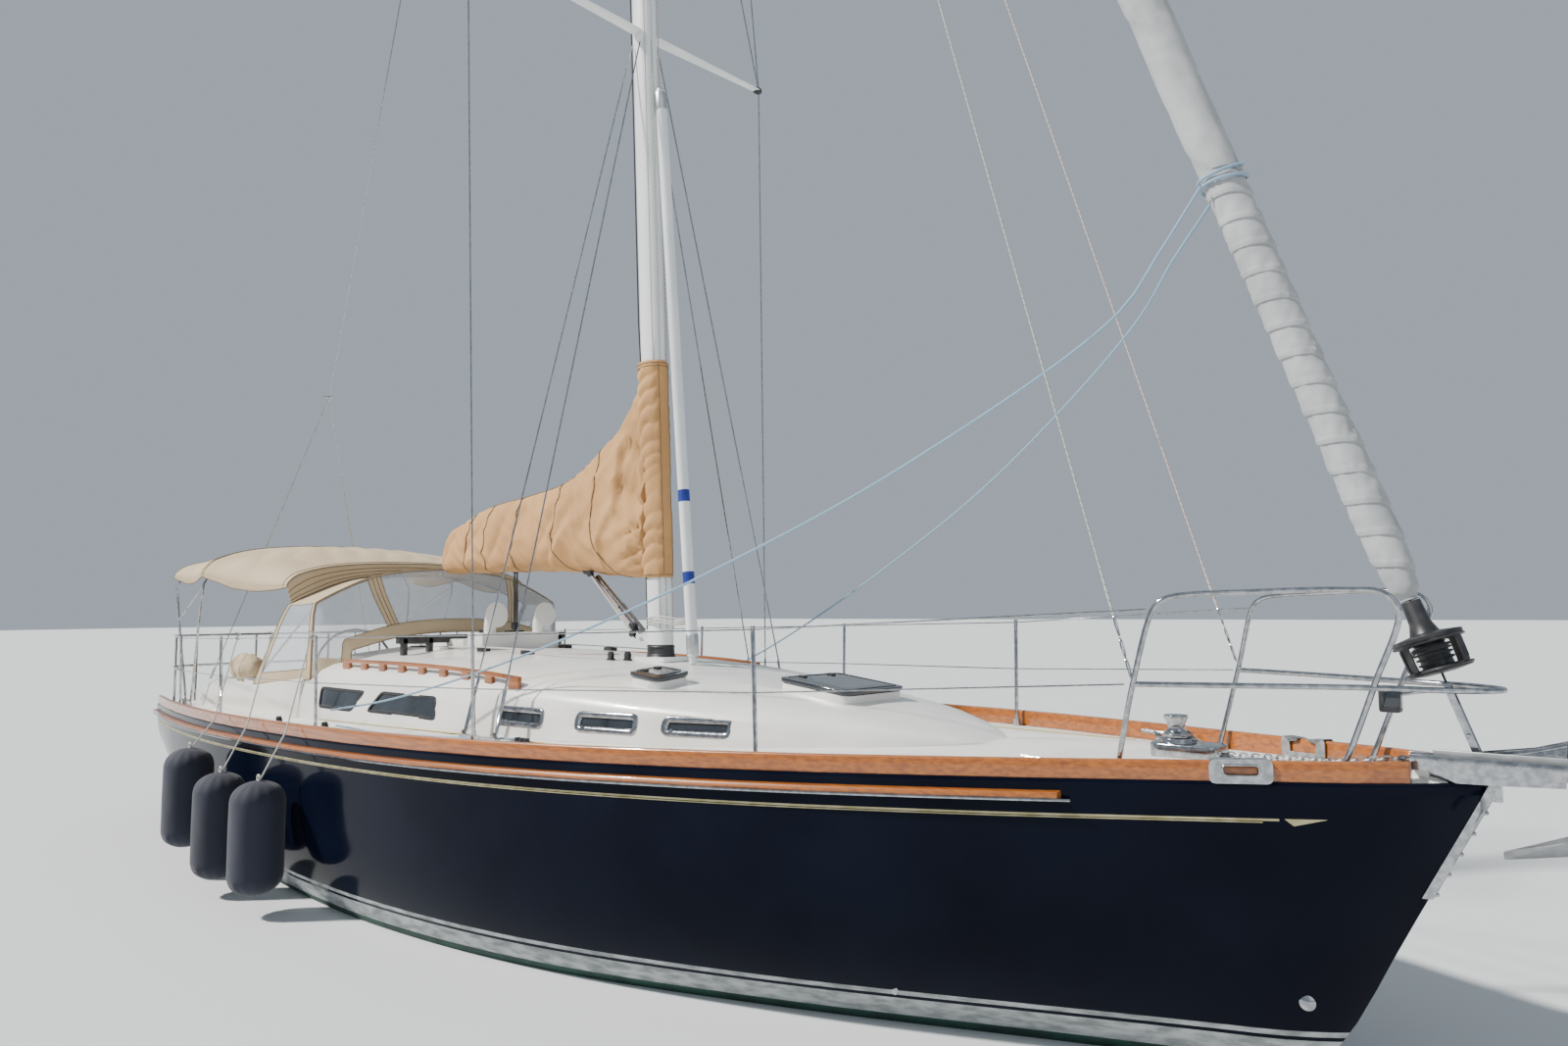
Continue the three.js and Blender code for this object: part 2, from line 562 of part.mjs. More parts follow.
function anchor() {
  const shank = box(5950, 6570, ROLLER.y - 9, ROLLER.y + 9, 1472, 1512);
  const drop = loft([
    [at(6570, ROLLER.y - 9, 1512), at(6570, ROLLER.y + 9, 1512), at(6500, ROLLER.y + 9, 1485),
      at(6500, ROLLER.y - 9, 1485)],
    [at(6625, ROLLER.y - 9, 1240), at(6625, ROLLER.y + 9, 1240), at(6555, ROLLER.y + 9, 1235),
      at(6555, ROLLER.y - 9, 1235)],
  ]);
  const PLOUGH_TABLE = [
    { x: 6180, half: 12, z: 1110, deep: 24 },
    { x: 6400, half: 90, z: 1190, deep: 60 },
    { x: 6630, half: 150, z: 1265, deep: 50 },
  ];
  const plough = loft(PLOUGH_TABLE.map(({ x, half, z, deep }) => [
    at(x, ROLLER.y + half, z + 10), at(x, ROLLER.y, z - deep),
    at(x, ROLLER.y - half, z + 10), at(x, ROLLER.y, z),
  ]));
  return joined([shank, drop, plough]);
}
addPiece('anchor', anchor(), paint.galvanised);

const WINDLASS = { x: 4830, y: -60 };
const windlassDeck = deckTop(WINDLASS.x, WINDLASS.y);
addPiece('windlass', joined([
  onDeck(plate(340, 220, 60, 75).translate(WINDLASS.x + 60, WINDLASS.y, windlassDeck - 15)),
  bar(at(WINDLASS.x, WINDLASS.y, windlassDeck + 40), at(WINDLASS.x, WINDLASS.y, windlassDeck + 84), 82, 20),
]), paint.alloy);
const CAPSTAN_PROFILE = [[0, 0], [66, 0], [66, 12], [46, 26], [42, 60], [58, 92], [58, 104], [0, 108]];
addPiece('windlass_drum', lathe(CAPSTAN_PROFILE, 16)
  .translate(WINDLASS.x, WINDLASS.y, windlassDeck + 84 + MOVE_GAP), paint.alloy);

const PULPIT_BAR = 13;
function pulpit() {
  const bars = SIDES.flatMap(([, s]) => {
    const aftFoot = at(4780, s * (beam(4780) - 105), deckTop(4780, 640) + 3);
    const aftKnee = at(4890, s * 680, 1780);
    const aftTop = at(4990, s * 655, 2120);
    const foreFoot = at(5625, s * (beam(5625) - 110), deckTop(5625, 240) + 5);
    const foreKnee = at(5775, s * 262, 1780);
    const foreTop = at(5890, s * 300, 2110);
    return [
      tube([aftFoot, aftKnee, aftTop, at(5040, s * 640, 2160), at(5380, s * 470, 2185),
        at(5700, s * 330, 2190), at(5830, s * 306, 2178), foreTop, foreKnee, foreFoot], PULPIT_BAR, 24),
      bar(aftFoot, aftFoot.clone().setZ(aftFoot.z + 8), 32, 10),
      bar(foreFoot, foreFoot.clone().setZ(foreFoot.z + 8), 32, 10),
    ];
  });
  const waist = [at(4890, -680, 1772), at(5350, -470, 1772), at(5775, -262, 1770), at(6030, -185, 1766),
    at(6150, -100, 1764), at(6200, 0, 1764)];
  const around = [...waist, ...mirrored(waist).reverse().slice(1)];
  return joined([...bars, tube(around, PULPIT_BAR, 22)]);
}
addPiece('pulpit', pulpit(), paint.stainless);

// Guard rails: stanchions with their two wires, and the stern rail
const STANCHION_X = [3130, 1180, -750, -2900];
const PUSHPIT_X = -4750;
const guardY = x => beam(x) - 105;
const guardZ = x => sheer(x) + GUARD_HEIGHT;
// The upper and the lower wire: share of the stanchion's height, and where it ends at the pulpit
const WIRE_TABLE = [
  { share: 1, bowX: 4959, bowY: 672, bowZ: 2110 },
  { share: 0.5, bowX: 4854, bowY: 694, bowZ: 1770 },
];
for (const [side, sign] of SIDES) {
  const posts = STANCHION_X.flatMap(x => {
    const foot = at(x, sign * guardY(x), deckTop(x, guardY(x)) + 2);
    return [bar(foot, at(x, sign * (guardY(x) + 20), guardZ(x)), 12.5),
      bar(foot, foot.clone().setZ(foot.z + 45), 26, 10)];
  });
  const wires = WIRE_TABLE.flatMap(({ share, bowX, bowY, bowZ }) => {
    const heightOn = x => sheer(x) + 75 + share * (GUARD_HEIGHT - 95);
    const sternY = guardY(PUSHPIT_X) + 20 * share;
    const bow = at(bowX, sign * bowY, bowZ);
    const stern = at(PUSHPIT_X + 2 * PULPIT_BAR, sign * sternY, heightOn(PUSHPIT_X));
    const held = STANCHION_X.map(x => at(x, sign * (guardY(x) + 20 * share), heightOn(x)));
    const line = [bow, ...held, stern];
    return line.slice(1).map((p, i) => bar(line[i], p, 4, 6));
  });
  addPiece(`lifelines_${side}`, joined([...posts, ...wires]), paint.stainless);
}

function pushpit() {
  const top = [
    at(PUSHPIT_X, -guardY(PUSHPIT_X) - 20, guardZ(PUSHPIT_X) - 5),
    at(-5250, -1440, guardZ(-5250)), at(-5600, -1320, guardZ(-5600)), at(-5760, -1120, guardZ(-5700)),
    at(-5790, -700, guardZ(-5700)), at(-5790, 0, guardZ(-5700)),
  ];
  const waist = top.map(p => p.clone().setZ(p.z - 330));
  const rails = [top, waist].map(half => tube([...half, ...mirrored(half).reverse().slice(1)], 13, 20));
  const feet = [[PUSHPIT_X, guardY(PUSHPIT_X)], [-5350, 1400], [-5765, 1060], [-5790, 420]];
  const legs = feet.flatMap(([x, y]) => SIDES.map(([, s]) => {
    const foot = at(x, s * y, deckTop(x, y) + 2);
    return bar(foot, at(x, s * (y + (x === PUSHPIT_X ? 20 : 0)), guardZ(x) - 3), 13);
  }));
  return joined([...rails, ...legs]);
}
addPiece('pushpit', pushpit(), paint.stainless);

// Mast, spreaders, standing rigging
const mastFoot = roofAt(MAST_FOOT_X, 0) - 12;
function ellipse(lengthways, across, x, z, count = 20) {
  return Array.from({ length: count }, (_, i) => {
    const angle = (i / count) * 2 * Math.PI;
    return at(x + lengthways / 2 * Math.cos(angle), across / 2 * Math.sin(angle), z);
  });
}

function mast() {
  const spar = loft([mastFoot, MASTHEAD_Z].map(z =>
    ellipse(MAST_LENGTHWAYS, MAST_ACROSS, mastX(z), z)));
  const step = plate(380, 260, 40, 34).translate(MAST_FOOT_X, 0, mastFoot);
  const gooseEnd = mastX(GOOSENECK.z) - 90;
  const goose = box(GOOSENECK.x - 16, gooseEnd, -18, 18, GOOSENECK.z - 62, GOOSENECK.z - 44);
  const gooseTop = box(GOOSENECK.x - 16, gooseEnd, -18, 18, GOOSENECK.z + 44, GOOSENECK.z + 62);
  const vangLug = box(GOOSENECK.x - 30, mastX(1900) - 90, -16, 16, 1880, 1912);
  const head = mastX(MASTHEAD_Z);
  const crane = box(head - 260, head + 190, -30, 30, MASTHEAD_Z - 160, MASTHEAD_Z);
  return onRoof(joined([spar, step, goose, gooseTop, vangLug, crane]));
}
addPiece('mast', mast(), paint.white);

// Spreaders: height, half-span of the tip, and the tip's sweep aft and rise
const SPREADERS = {
  lower: { z: LOWER_SPREADER_Z, span: 1500, sweep: 160, rise: 150 },
  upper: { z: UPPER_SPREADER_Z, span: 1120, sweep: 130, rise: 120 },
};
for (const [level, { z, span, sweep, rise }] of Object.entries(SPREADERS)) {
  for (const [side, sign] of SIDES) {
    const rootX = mastX(z);
    const blade = (x, y, height, chord, deep) => Array.from({ length: 8 }, (_, i) => {
      const angle = (i / 8) * 2 * Math.PI;
      return at(x + chord / 2 * Math.cos(angle), sign * y, height + deep / 2 * Math.sin(angle));
    });
    addPiece(`${level}_spreader_${side}`, loft([
      blade(rootX, MAST_ACROSS / 2 + 2, z, 120, 34),
      blade(rootX - sweep, span, z + rise, 70, 24),
    ]), paint.white);
  }
}

const CHAINPLATE = { y: 1435, cap: 590, aft: 470, forward: 850 };
const WIRE = 6;
const LOWER_HEAD_Z = 6690;
for (const [side, sign] of SIDES) {
  const base = deckTop(CHAINPLATE.cap, CHAINPLATE.y);
  const knee = ({ z, span, sweep, rise }) => at(mastX(z) - sweep, sign * (span + 16), z + rise);
  const [lowerKnee, upperKnee] = [knee(SPREADERS.lower), knee(SPREADERS.upper)];
  const masthead = at(mastX(MASTHEAD_Z), sign * (MAST_ACROSS / 2 + 12), MASTHEAD_Z - 220);
  const foot = x => at(x, sign * CHAINPLATE.y, base + 20);
  const diagonalHead = at(mastX(UPPER_SPREADER_Z), sign * (MAST_ACROSS / 2 + 12),
    UPPER_SPREADER_Z - 90);
  const lowerHead = x => at(mastX(LOWER_HEAD_Z) + x, sign * (MAST_ACROSS / 2 + 14), LOWER_HEAD_Z);
  const wires = [
    bar(foot(CHAINPLATE.cap), lowerKnee, WIRE, 6),
    bar(lowerKnee, upperKnee, WIRE, 6),
    bar(upperKnee, masthead, WIRE, 6),
    bar(lowerKnee, diagonalHead, WIRE, 6),
    bar(foot(CHAINPLATE.aft), lowerHead(-50), WIRE, 6),
    bar(foot(CHAINPLATE.forward), lowerHead(50), WIRE, 6),
  ];
  const middle = sign * CHAINPLATE.y;
  const plateBar = box(CHAINPLATE.aft - 30, CHAINPLATE.forward + 30, middle - 20, middle + 20,
    base - 15, base + 30);
  const leads = [
    [CHAINPLATE.cap, lowerKnee], [CHAINPLATE.aft, lowerHead(-50)], [CHAINPLATE.forward, lowerHead(50)],
  ];
  const screws = leads.map(([x, head]) => {
    const up = head.clone().sub(foot(x)).normalize();
    return bar(foot(x), foot(x).addScaledVector(up, 330), 13, 8);
  });
  addPiece(`shrouds_${side}`, onDeck(joined([...wires, plateBar, ...screws])), paint.stainless);
}

const BRIDLE = at(-5010, 0, 4610);
const QUARTER = { x: -5735, y: 1000 };
const quarter = s => at(QUARTER.x, s * QUARTER.y, deckTop(QUARTER.x, QUARTER.y) + 6);
addPiece('backstay', joined([
  bar(at(mastX(MASTHEAD_Z) - 275, 0, MASTHEAD_Z - 60), BRIDLE, WIRE, 6),
  new THREE.CylinderGeometry(60, 60, 12, 3).rotateX(Math.PI / 2).rotateZ(Math.PI / 2)
    .translate(BRIDLE.x, BRIDLE.y, BRIDLE.z),
  ...SIDES.flatMap(([, s]) => [
    bar(BRIDLE, quarter(s), WIRE, 6),
    bar(quarter(s), quarter(s).lerp(BRIDLE, 0.1), 13, 8),
  ]),
]), paint.stainless);

const stayLine = t => FORESTAY_FOOT.clone().lerp(FORESTAY_HEAD, t);
const stayLength = FORESTAY_HEAD.distanceTo(FORESTAY_FOOT);
addPiece('forestay', joined([
  bar(stayLine(40 / stayLength), FORESTAY_HEAD, 5, 8),
  bar(stayLine(32 / stayLength), stayLine(230 / stayLength), 14, 8),
]), paint.stainless);

// A body turned about the forestay: radius against distance up the stay, with a bore for the wire
function aboutStay(profile, bore, sides) {
  const [first, last] = [profile[0], profile[profile.length - 1]];
  const ring = [...profile, [bore, last[1]], [bore, first[1]], first];
  const way = FORESTAY_HEAD.clone().sub(FORESTAY_FOOT).normalize();
  const turn = new THREE.Quaternion().setFromUnitVectors(at(0, 0, 1), way);
  return lathe(ring, sides).applyQuaternion(turn).translate(...FORESTAY_FOOT.toArray());
}
const DRUM_PROFILE = [[60, 372], [128, 380], [132, 398], [64, 406], [60, 500], [70, 512], [140, 520],
  [142, 538], [60, 552], [44, 600], [40, 700]];
const GENOA_PROFILE = [[34, 712], [60, 760], [84, 1000], [88, 1700], [108, 4000], [114, 7500],
  [100, 11000], [70, 15000], [40, 16700], [34, 16900]];
addPiece('furler_drum', aboutStay(DRUM_PROFILE, 22, 18), paint.black);
addPiece('furled_genoa', aboutStay(GENOA_PROFILE, 14, 16), paint.sailcloth);

// Boom with its vang and the covered mainsail
const BOOM = { x0: 580, x1: -2260, width: 110, depth: 165, rise: 0.012 };
const boomZ = x => GOOSENECK.z + (BOOM.x0 - x) * BOOM.rise;
function boomRing(x, grow) {
  return Array.from({ length: 12 }, (_, i) => {
    const angle = (i / 12) * 2 * Math.PI;
    const rise = (BOOM.depth / 2 + grow) * Math.sin(angle);
    return at(x, (BOOM.width / 2 + grow) * Math.cos(angle), boomZ(x) + rise);
  });
}
function boom() {
  const spar = loft([BOOM.x1, BOOM.x0].map(x => boomRing(x, 0)));
  const pin = bar(at(GOOSENECK.x, 0, GOOSENECK.z - 36), at(GOOSENECK.x, 0, GOOSENECK.z + 36), 15, 12);
  const link = box(BOOM.x0 - 20, GOOSENECK.x, -12, 12, GOOSENECK.z - 20, GOOSENECK.z + 20);
  return joined([spar, pin, link]);
}
addPiece('boom', boom(), paint.alloy);

function sailCover() {
  const rings = [...COVER_TABLE].reverse().map(({ x, under, top, half }) => {
    const rise = top - under;
    const port = [[0, 0], [0.62, 0.03], [0.98, 0.16], [1, 0.34], [0.72, 0.66], [0.3, 0.93], [0, 1]]
      .map(([w, h]) => at(x, w * half, under + h * rise));
    return [...port, ...mirrored(port).reverse().slice(1, -1)];
  });
  return cut(loft(rings), loft([BOOM.x1 - 50, BOOM.x0 + 40].map(x => boomRing(x, 1))));
}
addPiece('sail_cover', sailCover(), paint.canvas);

// The front of the cover, a half sleeve round the fore side of the mast
const COLLAR_Z = [2390, 3200, 4050];
function collarRings(grow, longer) {
  return COLLAR_Z.map((z, i) =>
    ellipse(MAST_LENGTHWAYS + grow, MAST_ACROSS + grow, mastX(z), z, 24)
      .map(p => at(p.x, p.y, p.z + (i - 1) * longer)));
}
addPiece('mast_collar', cut(loft(collarRings(50, 0)), loft(collarRings(8, 20)),
  box(0, 800, -200, 200, 2300, 4200)), paint.canvas);

const VANG = { low: at(GOOSENECK.x - 20, 0, 1960), high: at(60, 0, 2392) };
addPiece('boom_vang', joined([
  bar(VANG.low, VANG.high, 26, 12),
  bar(VANG.low, VANG.low.clone().lerp(VANG.high, 0.45), 34, 12),
]), paint.stainless);

const POLE = {
  foot: at(1210, 0, roofAt(1210, 0) + 62),
  head: at(mastX(6250) + 175, 0, 6250),
  radius: 43,
};
addPiece('spinnaker_pole', joined([
  bar(POLE.foot, POLE.head, POLE.radius, 14),
  bar(POLE.foot.clone().setZ(POLE.foot.z - 58), POLE.foot.clone().setZ(POLE.foot.z + 20), 30, 12),
  bar(POLE.head.clone().setZ(6235), at(POLE.head.x - 57, 0, 6235), 14, 8),
]), paint.white);

// On the coachroof: mainsheet traveller, cowl vents, grab rails
const TRAVELLER = { x: -1600, half: 860, z0: 1886, z1: 1912, feet: [-800, -560, 560, 800] };
addPiece('mainsheet_traveller', onRoof(joined([
  box(TRAVELLER.x - 19, TRAVELLER.x + 19, -TRAVELLER.half, TRAVELLER.half, TRAVELLER.z0, TRAVELLER.z1),
  ...TRAVELLER.feet.map(y =>
    box(TRAVELLER.x - 30, TRAVELLER.x + 30, y - 20, y + 20, 1700, TRAVELLER.z0 + 5)),
  box(TRAVELLER.x - 60, TRAVELLER.x + 60, -34, 34, TRAVELLER.z1 - 4, TRAVELLER.z1 + 40),
])), paint.black);

const VENT = { x: -1130, y: 250, boxTop: 1930, mouthZ: 2085 };
addPiece('cowl_vents', onRoof(joined([
  box(VENT.x - 130, VENT.x + 110, -390, 390, 1700, VENT.boxTop),
  ...SIDES.flatMap(([, s]) => {
    const on = (x, z) => at(VENT.x + x, s * VENT.y, z);
    return [
      tube([on(0, VENT.boxTop - 20), on(0, 2010), on(20, 2065), on(75, VENT.mouthZ)], 52, 6, 10),
      bar(on(30, VENT.mouthZ - 4), on(105, VENT.mouthZ + 4), 66, 14, 112),
    ];
  }),
])), paint.grey);

const GRAB = { x0: -1830, x1: 690, y: 1185, loops: 8, high: 75, endFoot: 60, foot: 45 };
for (const [side, sign] of SIDES) {
  const pitch = (GRAB.x1 - GRAB.x0) / GRAB.loops;
  const [inner, outer] = [sign * GRAB.y - 14, sign * GRAB.y + 14];
  const railTop = x => roofAt(x, GRAB.y) + GRAB.high;
  const feet = Array.from({ length: GRAB.loops + 1 }, (_, i) => {
    const x = GRAB.x0 + i * pitch;
    const half = i === 0 || i === GRAB.loops ? GRAB.endFoot : GRAB.foot;
    return box(x - half, x + half, inner, outer, railTop(x) - GRAB.high - 20, railTop(x) - 10);
  });
  const rail = loft(Array.from({ length: GRAB.loops + 1 }, (_, i) => {
    const end = i === 0 ? -GRAB.endFoot : i === GRAB.loops ? GRAB.endFoot : 0;
    const x = GRAB.x0 + i * pitch + end;
    const z = railTop(x);
    return [at(x, inner, z - 30), at(x, outer, z - 30), at(x, outer, z), at(x, inner, z)];
  }));
  addPiece(`grab_rail_${side}`, onRoof(joined([rail, ...feet])), paint.teak);
}

// Cockpit fittings
const HELM = { x: -4200, z: 1500, radius: 430 };
const PEDESTAL_X = -4060;
addPiece('steering_pedestal', joined([
  bar(at(PEDESTAL_X, 0, FOOTWELL.z + 1), at(PEDESTAL_X, 0, 1440), 75, 14, 60),
  box(PEDESTAL_X - 80, PEDESTAL_X + 80, -90, 90, 1400, 1560),
]), paint.white);
addPiece('steering_wheel', joined([
  new THREE.TorusGeometry(HELM.radius, 14, 6, 24).rotateY(Math.PI / 2).translate(HELM.x, 0, HELM.z),
  bar(at(HELM.x - 22, 0, HELM.z), at(HELM.x + 48, 0, HELM.z), 40, 14),
  ...[0, 1, 2, 3, 4].map(i => {
    const angle = (i / 5) * 2 * Math.PI;
    return bar(at(HELM.x, 0, HELM.z),
      at(HELM.x, HELM.radius * Math.sin(angle), HELM.z + HELM.radius * Math.cos(angle)), 8, 6);
  }),
]), paint.stainless);

const WINCH_PROFILE = [[0, 0], [84, 0], [84, 10], [62, 34], [56, 78], [62, 112], [76, 124], [76, 140],
  [40, 150], [0, 150]];
for (const [side, sign] of SIDES) {
  addPiece(`winch_drum_${side}`, lathe(WINCH_PROFILE, 14)
    .translate(WINCH.x, sign * WINCH.y, WINCH.z + 30 + MOVE_GAP), paint.stainless);
}

// Spray hood over the companionway: x at the foot, how far forward the crown lies, half-width,
// and the heights of the foot, the shoulder and the crown
const HOOD_TABLE = [
  { x: -3560, shift: 700, half: 1290, foot: 1440, shoulder: 2225, crown: 2490 },
  { x: -2330, shift: 0, half: 1280, foot: 1530, shoulder: 2240, crown: 2535 },
  { x: -2235, shift: 0, half: 1225, foot: 1600, shoulder: 2090, crown: 2310 },
  { x: -2080, shift: 0, half: 1040, foot: 1650, shoulder: 1800, crown: 1925 },
];
const HOOD_SIDE = [[1, 0], [0.995, 0.5], [0.985, 0.88], [0.93, 1]];
const HOOD_TOP = [[0.6, 0.66], [0.3, 0.92], [0, 1]];
const CANVAS = 12;
const CANVAS_GAP = 3;
function hoodRing({ x, shift, half, foot, shoulder, crown }, inset) {
  const side = HOOD_SIDE.map(([w, h]) => [w, foot + h * (shoulder - foot)]);
  const top = HOOD_TOP.map(([w, h]) => [w, shoulder + h * (crown - shoulder)]);
  const port = [...side, ...top].map(([w, z], i) => {
    const lean = shift * clamp((z - foot) / (shoulder - foot), 0, 1);
    const drop = i === 0 ? 0 : inset;
    return at(x + lean, w === 0 ? 0 : w * half - inset, z - drop);
  });
  return [...port, ...mirrored(port).reverse().slice(1)];
}
function bandBetween(outer, inner) {
  return loft(outer.map((ring, i) => [...ring, ...inner[i].reverse()]));
}
function sprayHood() {
  const rings = inset => HOOD_TABLE.map(row => hoodRing(row, inset));
  const roofBlock = loft(TRUNK_STATIONS.map(x => trunkRing(x, -CANVAS_GAP, 1100)));
  return cut(bandBetween(rings(0), rings(CANVAS)), roofBlock, coamingBlock(CANVAS_GAP));
}
addPiece('spray_hood', sprayHood(), paint.canvas);

// Awning over the cockpit: x, half-width, and the heights of the edge and the crown. It is
// highest over its middle hoop, and its fore edge comes down to the spray hood.
const AWNING = [
  { x: -5600, half: 1370, edge: 2500, crown: 2760 },
  { x: -4600, half: 1430, edge: 2490, crown: 2845 },
  { x: -3700, half: 1370, edge: 2400, crown: 2780 },
  { x: -2900, half: 1270, edge: 2350, crown: 2600 },
];
const ARCH = [[1, 0], [0.985, 0.22], [0.9, 0.52], [0.68, 0.8], [0.36, 0.95], [0, 1]];
function archPoints({ x, half, edge, crown }, inset) {
  const port = ARCH.map(([w, h]) => {
    const y = w === 0 ? 0 : w * half - inset;
    return at(x, y, edge + h * (crown - edge) - (h === 0 ? 0 : inset));
  });
  return [...port, ...mirrored(port).reverse().slice(1)];
}
const awningRings = inset => AWNING.map(row => archPoints(row, inset));
const stayHoles = SIDES.map(([, s]) => bar(BRIDLE, quarter(s), 3 * WIRE, 10));
addPiece('awning', cut(bandBetween(awningRings(0), awningRings(CANVAS)), ...stayHoles), paint.canvas);

// The awning's two hoops with their feet on the side deck. A strut on each side joins the
// middle hoop's shoulder to the after hoop's leg, at these steps along the two bent tubes.
const HOOP_RADIUS = 12;
const HOOP_STEPS = 30;
const STRUT = { shoulder: 7, leg: 5 };
const HOOP_TABLE = [
  { row: 0, shift: 14, footX: -5500, footY: 1235 },
  { row: 1, shift: 0, footX: -5110, footY: 1320 },
];
function awningFrame() {
  const lines = HOOP_TABLE.map(({ row, shift, footX, footY }) => {
    const under = { ...AWNING[row], x: AWNING[row].x + shift };
    const arch = archPoints(under, CANVAS + HOOP_RADIUS + 14);
    const foot = at(footX, footY, deckTop(footX, footY) - 10);
    return [foot, ...arch, at(foot.x, -foot.y, foot.z)];
  });
  const hoops = lines.map(line => tube(line, HOOP_RADIUS, HOOP_STEPS));
  const [aft, middle] = lines.map(line => new THREE.CatmullRomCurve3(line, false, 'centripetal'));
  const struts = [0, 1].map(end => {
    const shoulder = middle.getPointAt(Math.abs(end - STRUT.shoulder / HOOP_STEPS));
    const leg = aft.getPointAt(Math.abs(end - STRUT.leg / HOOP_STEPS));
    return bar(shoulder, leg, HOOP_RADIUS - 2, 6);
  });
  return onDeck(joined([...hoops, ...struts]));
}
addPiece('awning_frame', awningFrame(), paint.stainless);

// Fenders on the starboard quarter, cleats
const FENDERS = [['aft', -2480, 630], ['middle', -1660, 520], ['forward', -880, 540]];
const FENDER = { radius: 185, straight: 250, off: 50 };
for (const [name, x, z] of FENDERS) {
  const { radius, straight, off } = FENDER;
  const quarterTurn = Array.from({ length: 5 }, (_, i) => i * Math.PI / 8);
  const deep = radius * 0.8;
  const profile = [
    ...quarterTurn.map(a => [radius * Math.sin(a), -straight - deep * Math.cos(a)]),
    ...quarterTurn.map(a => [radius * Math.cos(a), straight + deep * Math.sin(a)]),
  ];
  profile[profile.length - 1][0] = 0;
  const body = lathe(profile, 16).translate(x, -(beam(x) + radius + off), z);
  addPiece(`fender_${name}`, body, paint.fender);
}

const CLEATS = [['bow_cleat', 4450, 0.77], ['stern_cleat', -5300, 0.86]];
for (const [name, x, share] of CLEATS) {
  for (const [side, sign] of SIDES) {
    const y = share * beam(x);
    const z = deckTop(x, y) + 3;
    addPiece(`${name}_${side}`, joined([
      tube([at(x - 130, sign * y, z + 58), at(x - 60, sign * y, z + 50), at(x + 60, sign * y, z + 50),
        at(x + 130, sign * y, z + 58)], 12, 4),
      box(x - 45, x - 20, sign * y - 12, sign * y + 12, z, z + 50),
      box(x + 20, x + 45, sign * y - 12, sign * y + 12, z, z + 50),
      box(x - 65, x + 65, sign * y - 22, sign * y + 22, z, z + 8),
    ]), paint.stainless);
  }
}

export default yacht;
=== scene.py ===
# %% [markdown]
# # Dressing a cruising sailing yacht
# The imported model gives the yacht's true sizes and its moving bodies. This script keeps those
# places and adds what the eye looks for: smooth gelcoat, varnish, sailcloth, canvas and rope.
# Every piece is made in metres, in the same frame. Most ride on one of the yacht's bodies; the
# sail cover and the tackles ride on none.

# %% Load the imported model
import json
import math

import bmesh
import bpy
from mathutils import Matrix, Vector, noise
from mathutils.bvhtree import BVHTree

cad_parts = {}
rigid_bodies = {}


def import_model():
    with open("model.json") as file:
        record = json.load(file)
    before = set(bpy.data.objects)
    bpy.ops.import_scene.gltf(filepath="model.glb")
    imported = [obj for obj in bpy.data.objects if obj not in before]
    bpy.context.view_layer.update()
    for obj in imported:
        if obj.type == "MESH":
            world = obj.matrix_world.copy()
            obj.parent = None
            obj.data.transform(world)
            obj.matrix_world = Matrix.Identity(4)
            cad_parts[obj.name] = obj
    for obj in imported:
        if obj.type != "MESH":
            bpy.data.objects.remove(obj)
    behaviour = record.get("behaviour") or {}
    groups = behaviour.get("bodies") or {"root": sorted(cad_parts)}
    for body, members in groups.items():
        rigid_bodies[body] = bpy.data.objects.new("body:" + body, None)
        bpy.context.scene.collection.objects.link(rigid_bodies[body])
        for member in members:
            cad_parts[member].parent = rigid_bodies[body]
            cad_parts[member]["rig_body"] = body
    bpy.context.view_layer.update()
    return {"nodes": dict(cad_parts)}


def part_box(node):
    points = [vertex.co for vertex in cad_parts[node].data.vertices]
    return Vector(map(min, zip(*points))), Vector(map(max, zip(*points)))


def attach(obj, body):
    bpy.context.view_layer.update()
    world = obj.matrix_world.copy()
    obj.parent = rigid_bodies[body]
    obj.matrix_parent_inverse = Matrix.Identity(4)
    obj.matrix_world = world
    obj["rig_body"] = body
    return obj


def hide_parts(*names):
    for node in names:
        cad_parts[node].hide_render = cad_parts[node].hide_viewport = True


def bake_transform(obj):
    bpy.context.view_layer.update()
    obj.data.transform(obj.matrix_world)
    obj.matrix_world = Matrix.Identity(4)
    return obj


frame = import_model()
NODES = frame["nodes"]
HULL_BODY = "yacht"
scene = bpy.context.scene

# %% [markdown]
# ## The camera
# A camera that stands where the photographer stood shows every piece from the side that the
# photograph shows. The turn is built from yaw, pitch and roll, in that order.

# %% Camera
PHOTO_WIDTH = 1600
FOCAL_PIXELS = 1063.74
SENSOR_WIDTH = 36.0
CAMERA_PLACE = (6.944, -5.286, 2.124)
CAMERA_YAW = 0.7389
CAMERA_PITCH = 0.0821
CAMERA_ROLL = -0.00674
CAMERA_REACH = 400


def added(name, data):
    """A new object in the scene."""
    shape = bpy.data.objects.new(name, data)
    scene.collection.objects.link(shape)
    return shape


camera_data = bpy.data.cameras.new("camera")
camera_data.sensor_width = SENSOR_WIDTH
camera_data.lens = SENSOR_WIDTH * FOCAL_PIXELS / PHOTO_WIDTH
camera_data.clip_end = CAMERA_REACH
camera = added("camera", camera_data)
camera.matrix_world = (
    Matrix.Translation(CAMERA_PLACE)
    @ Matrix.Rotation(CAMERA_YAW, 4, "Z")
    @ Matrix.Rotation(math.pi / 2 + CAMERA_PITCH, 4, "X")
    @ Matrix.Rotation(CAMERA_ROLL, 4, "Z")
)
scene.camera = camera
print("lens", round(camera_data.lens, 2), "mm")

# %% [markdown]
# ## Shader sums as Python
# A material is a graph of small nodes. Writing the graph as sums keeps it readable: a Value
# wraps one socket, and each operator on it adds the Math node that does that sum.


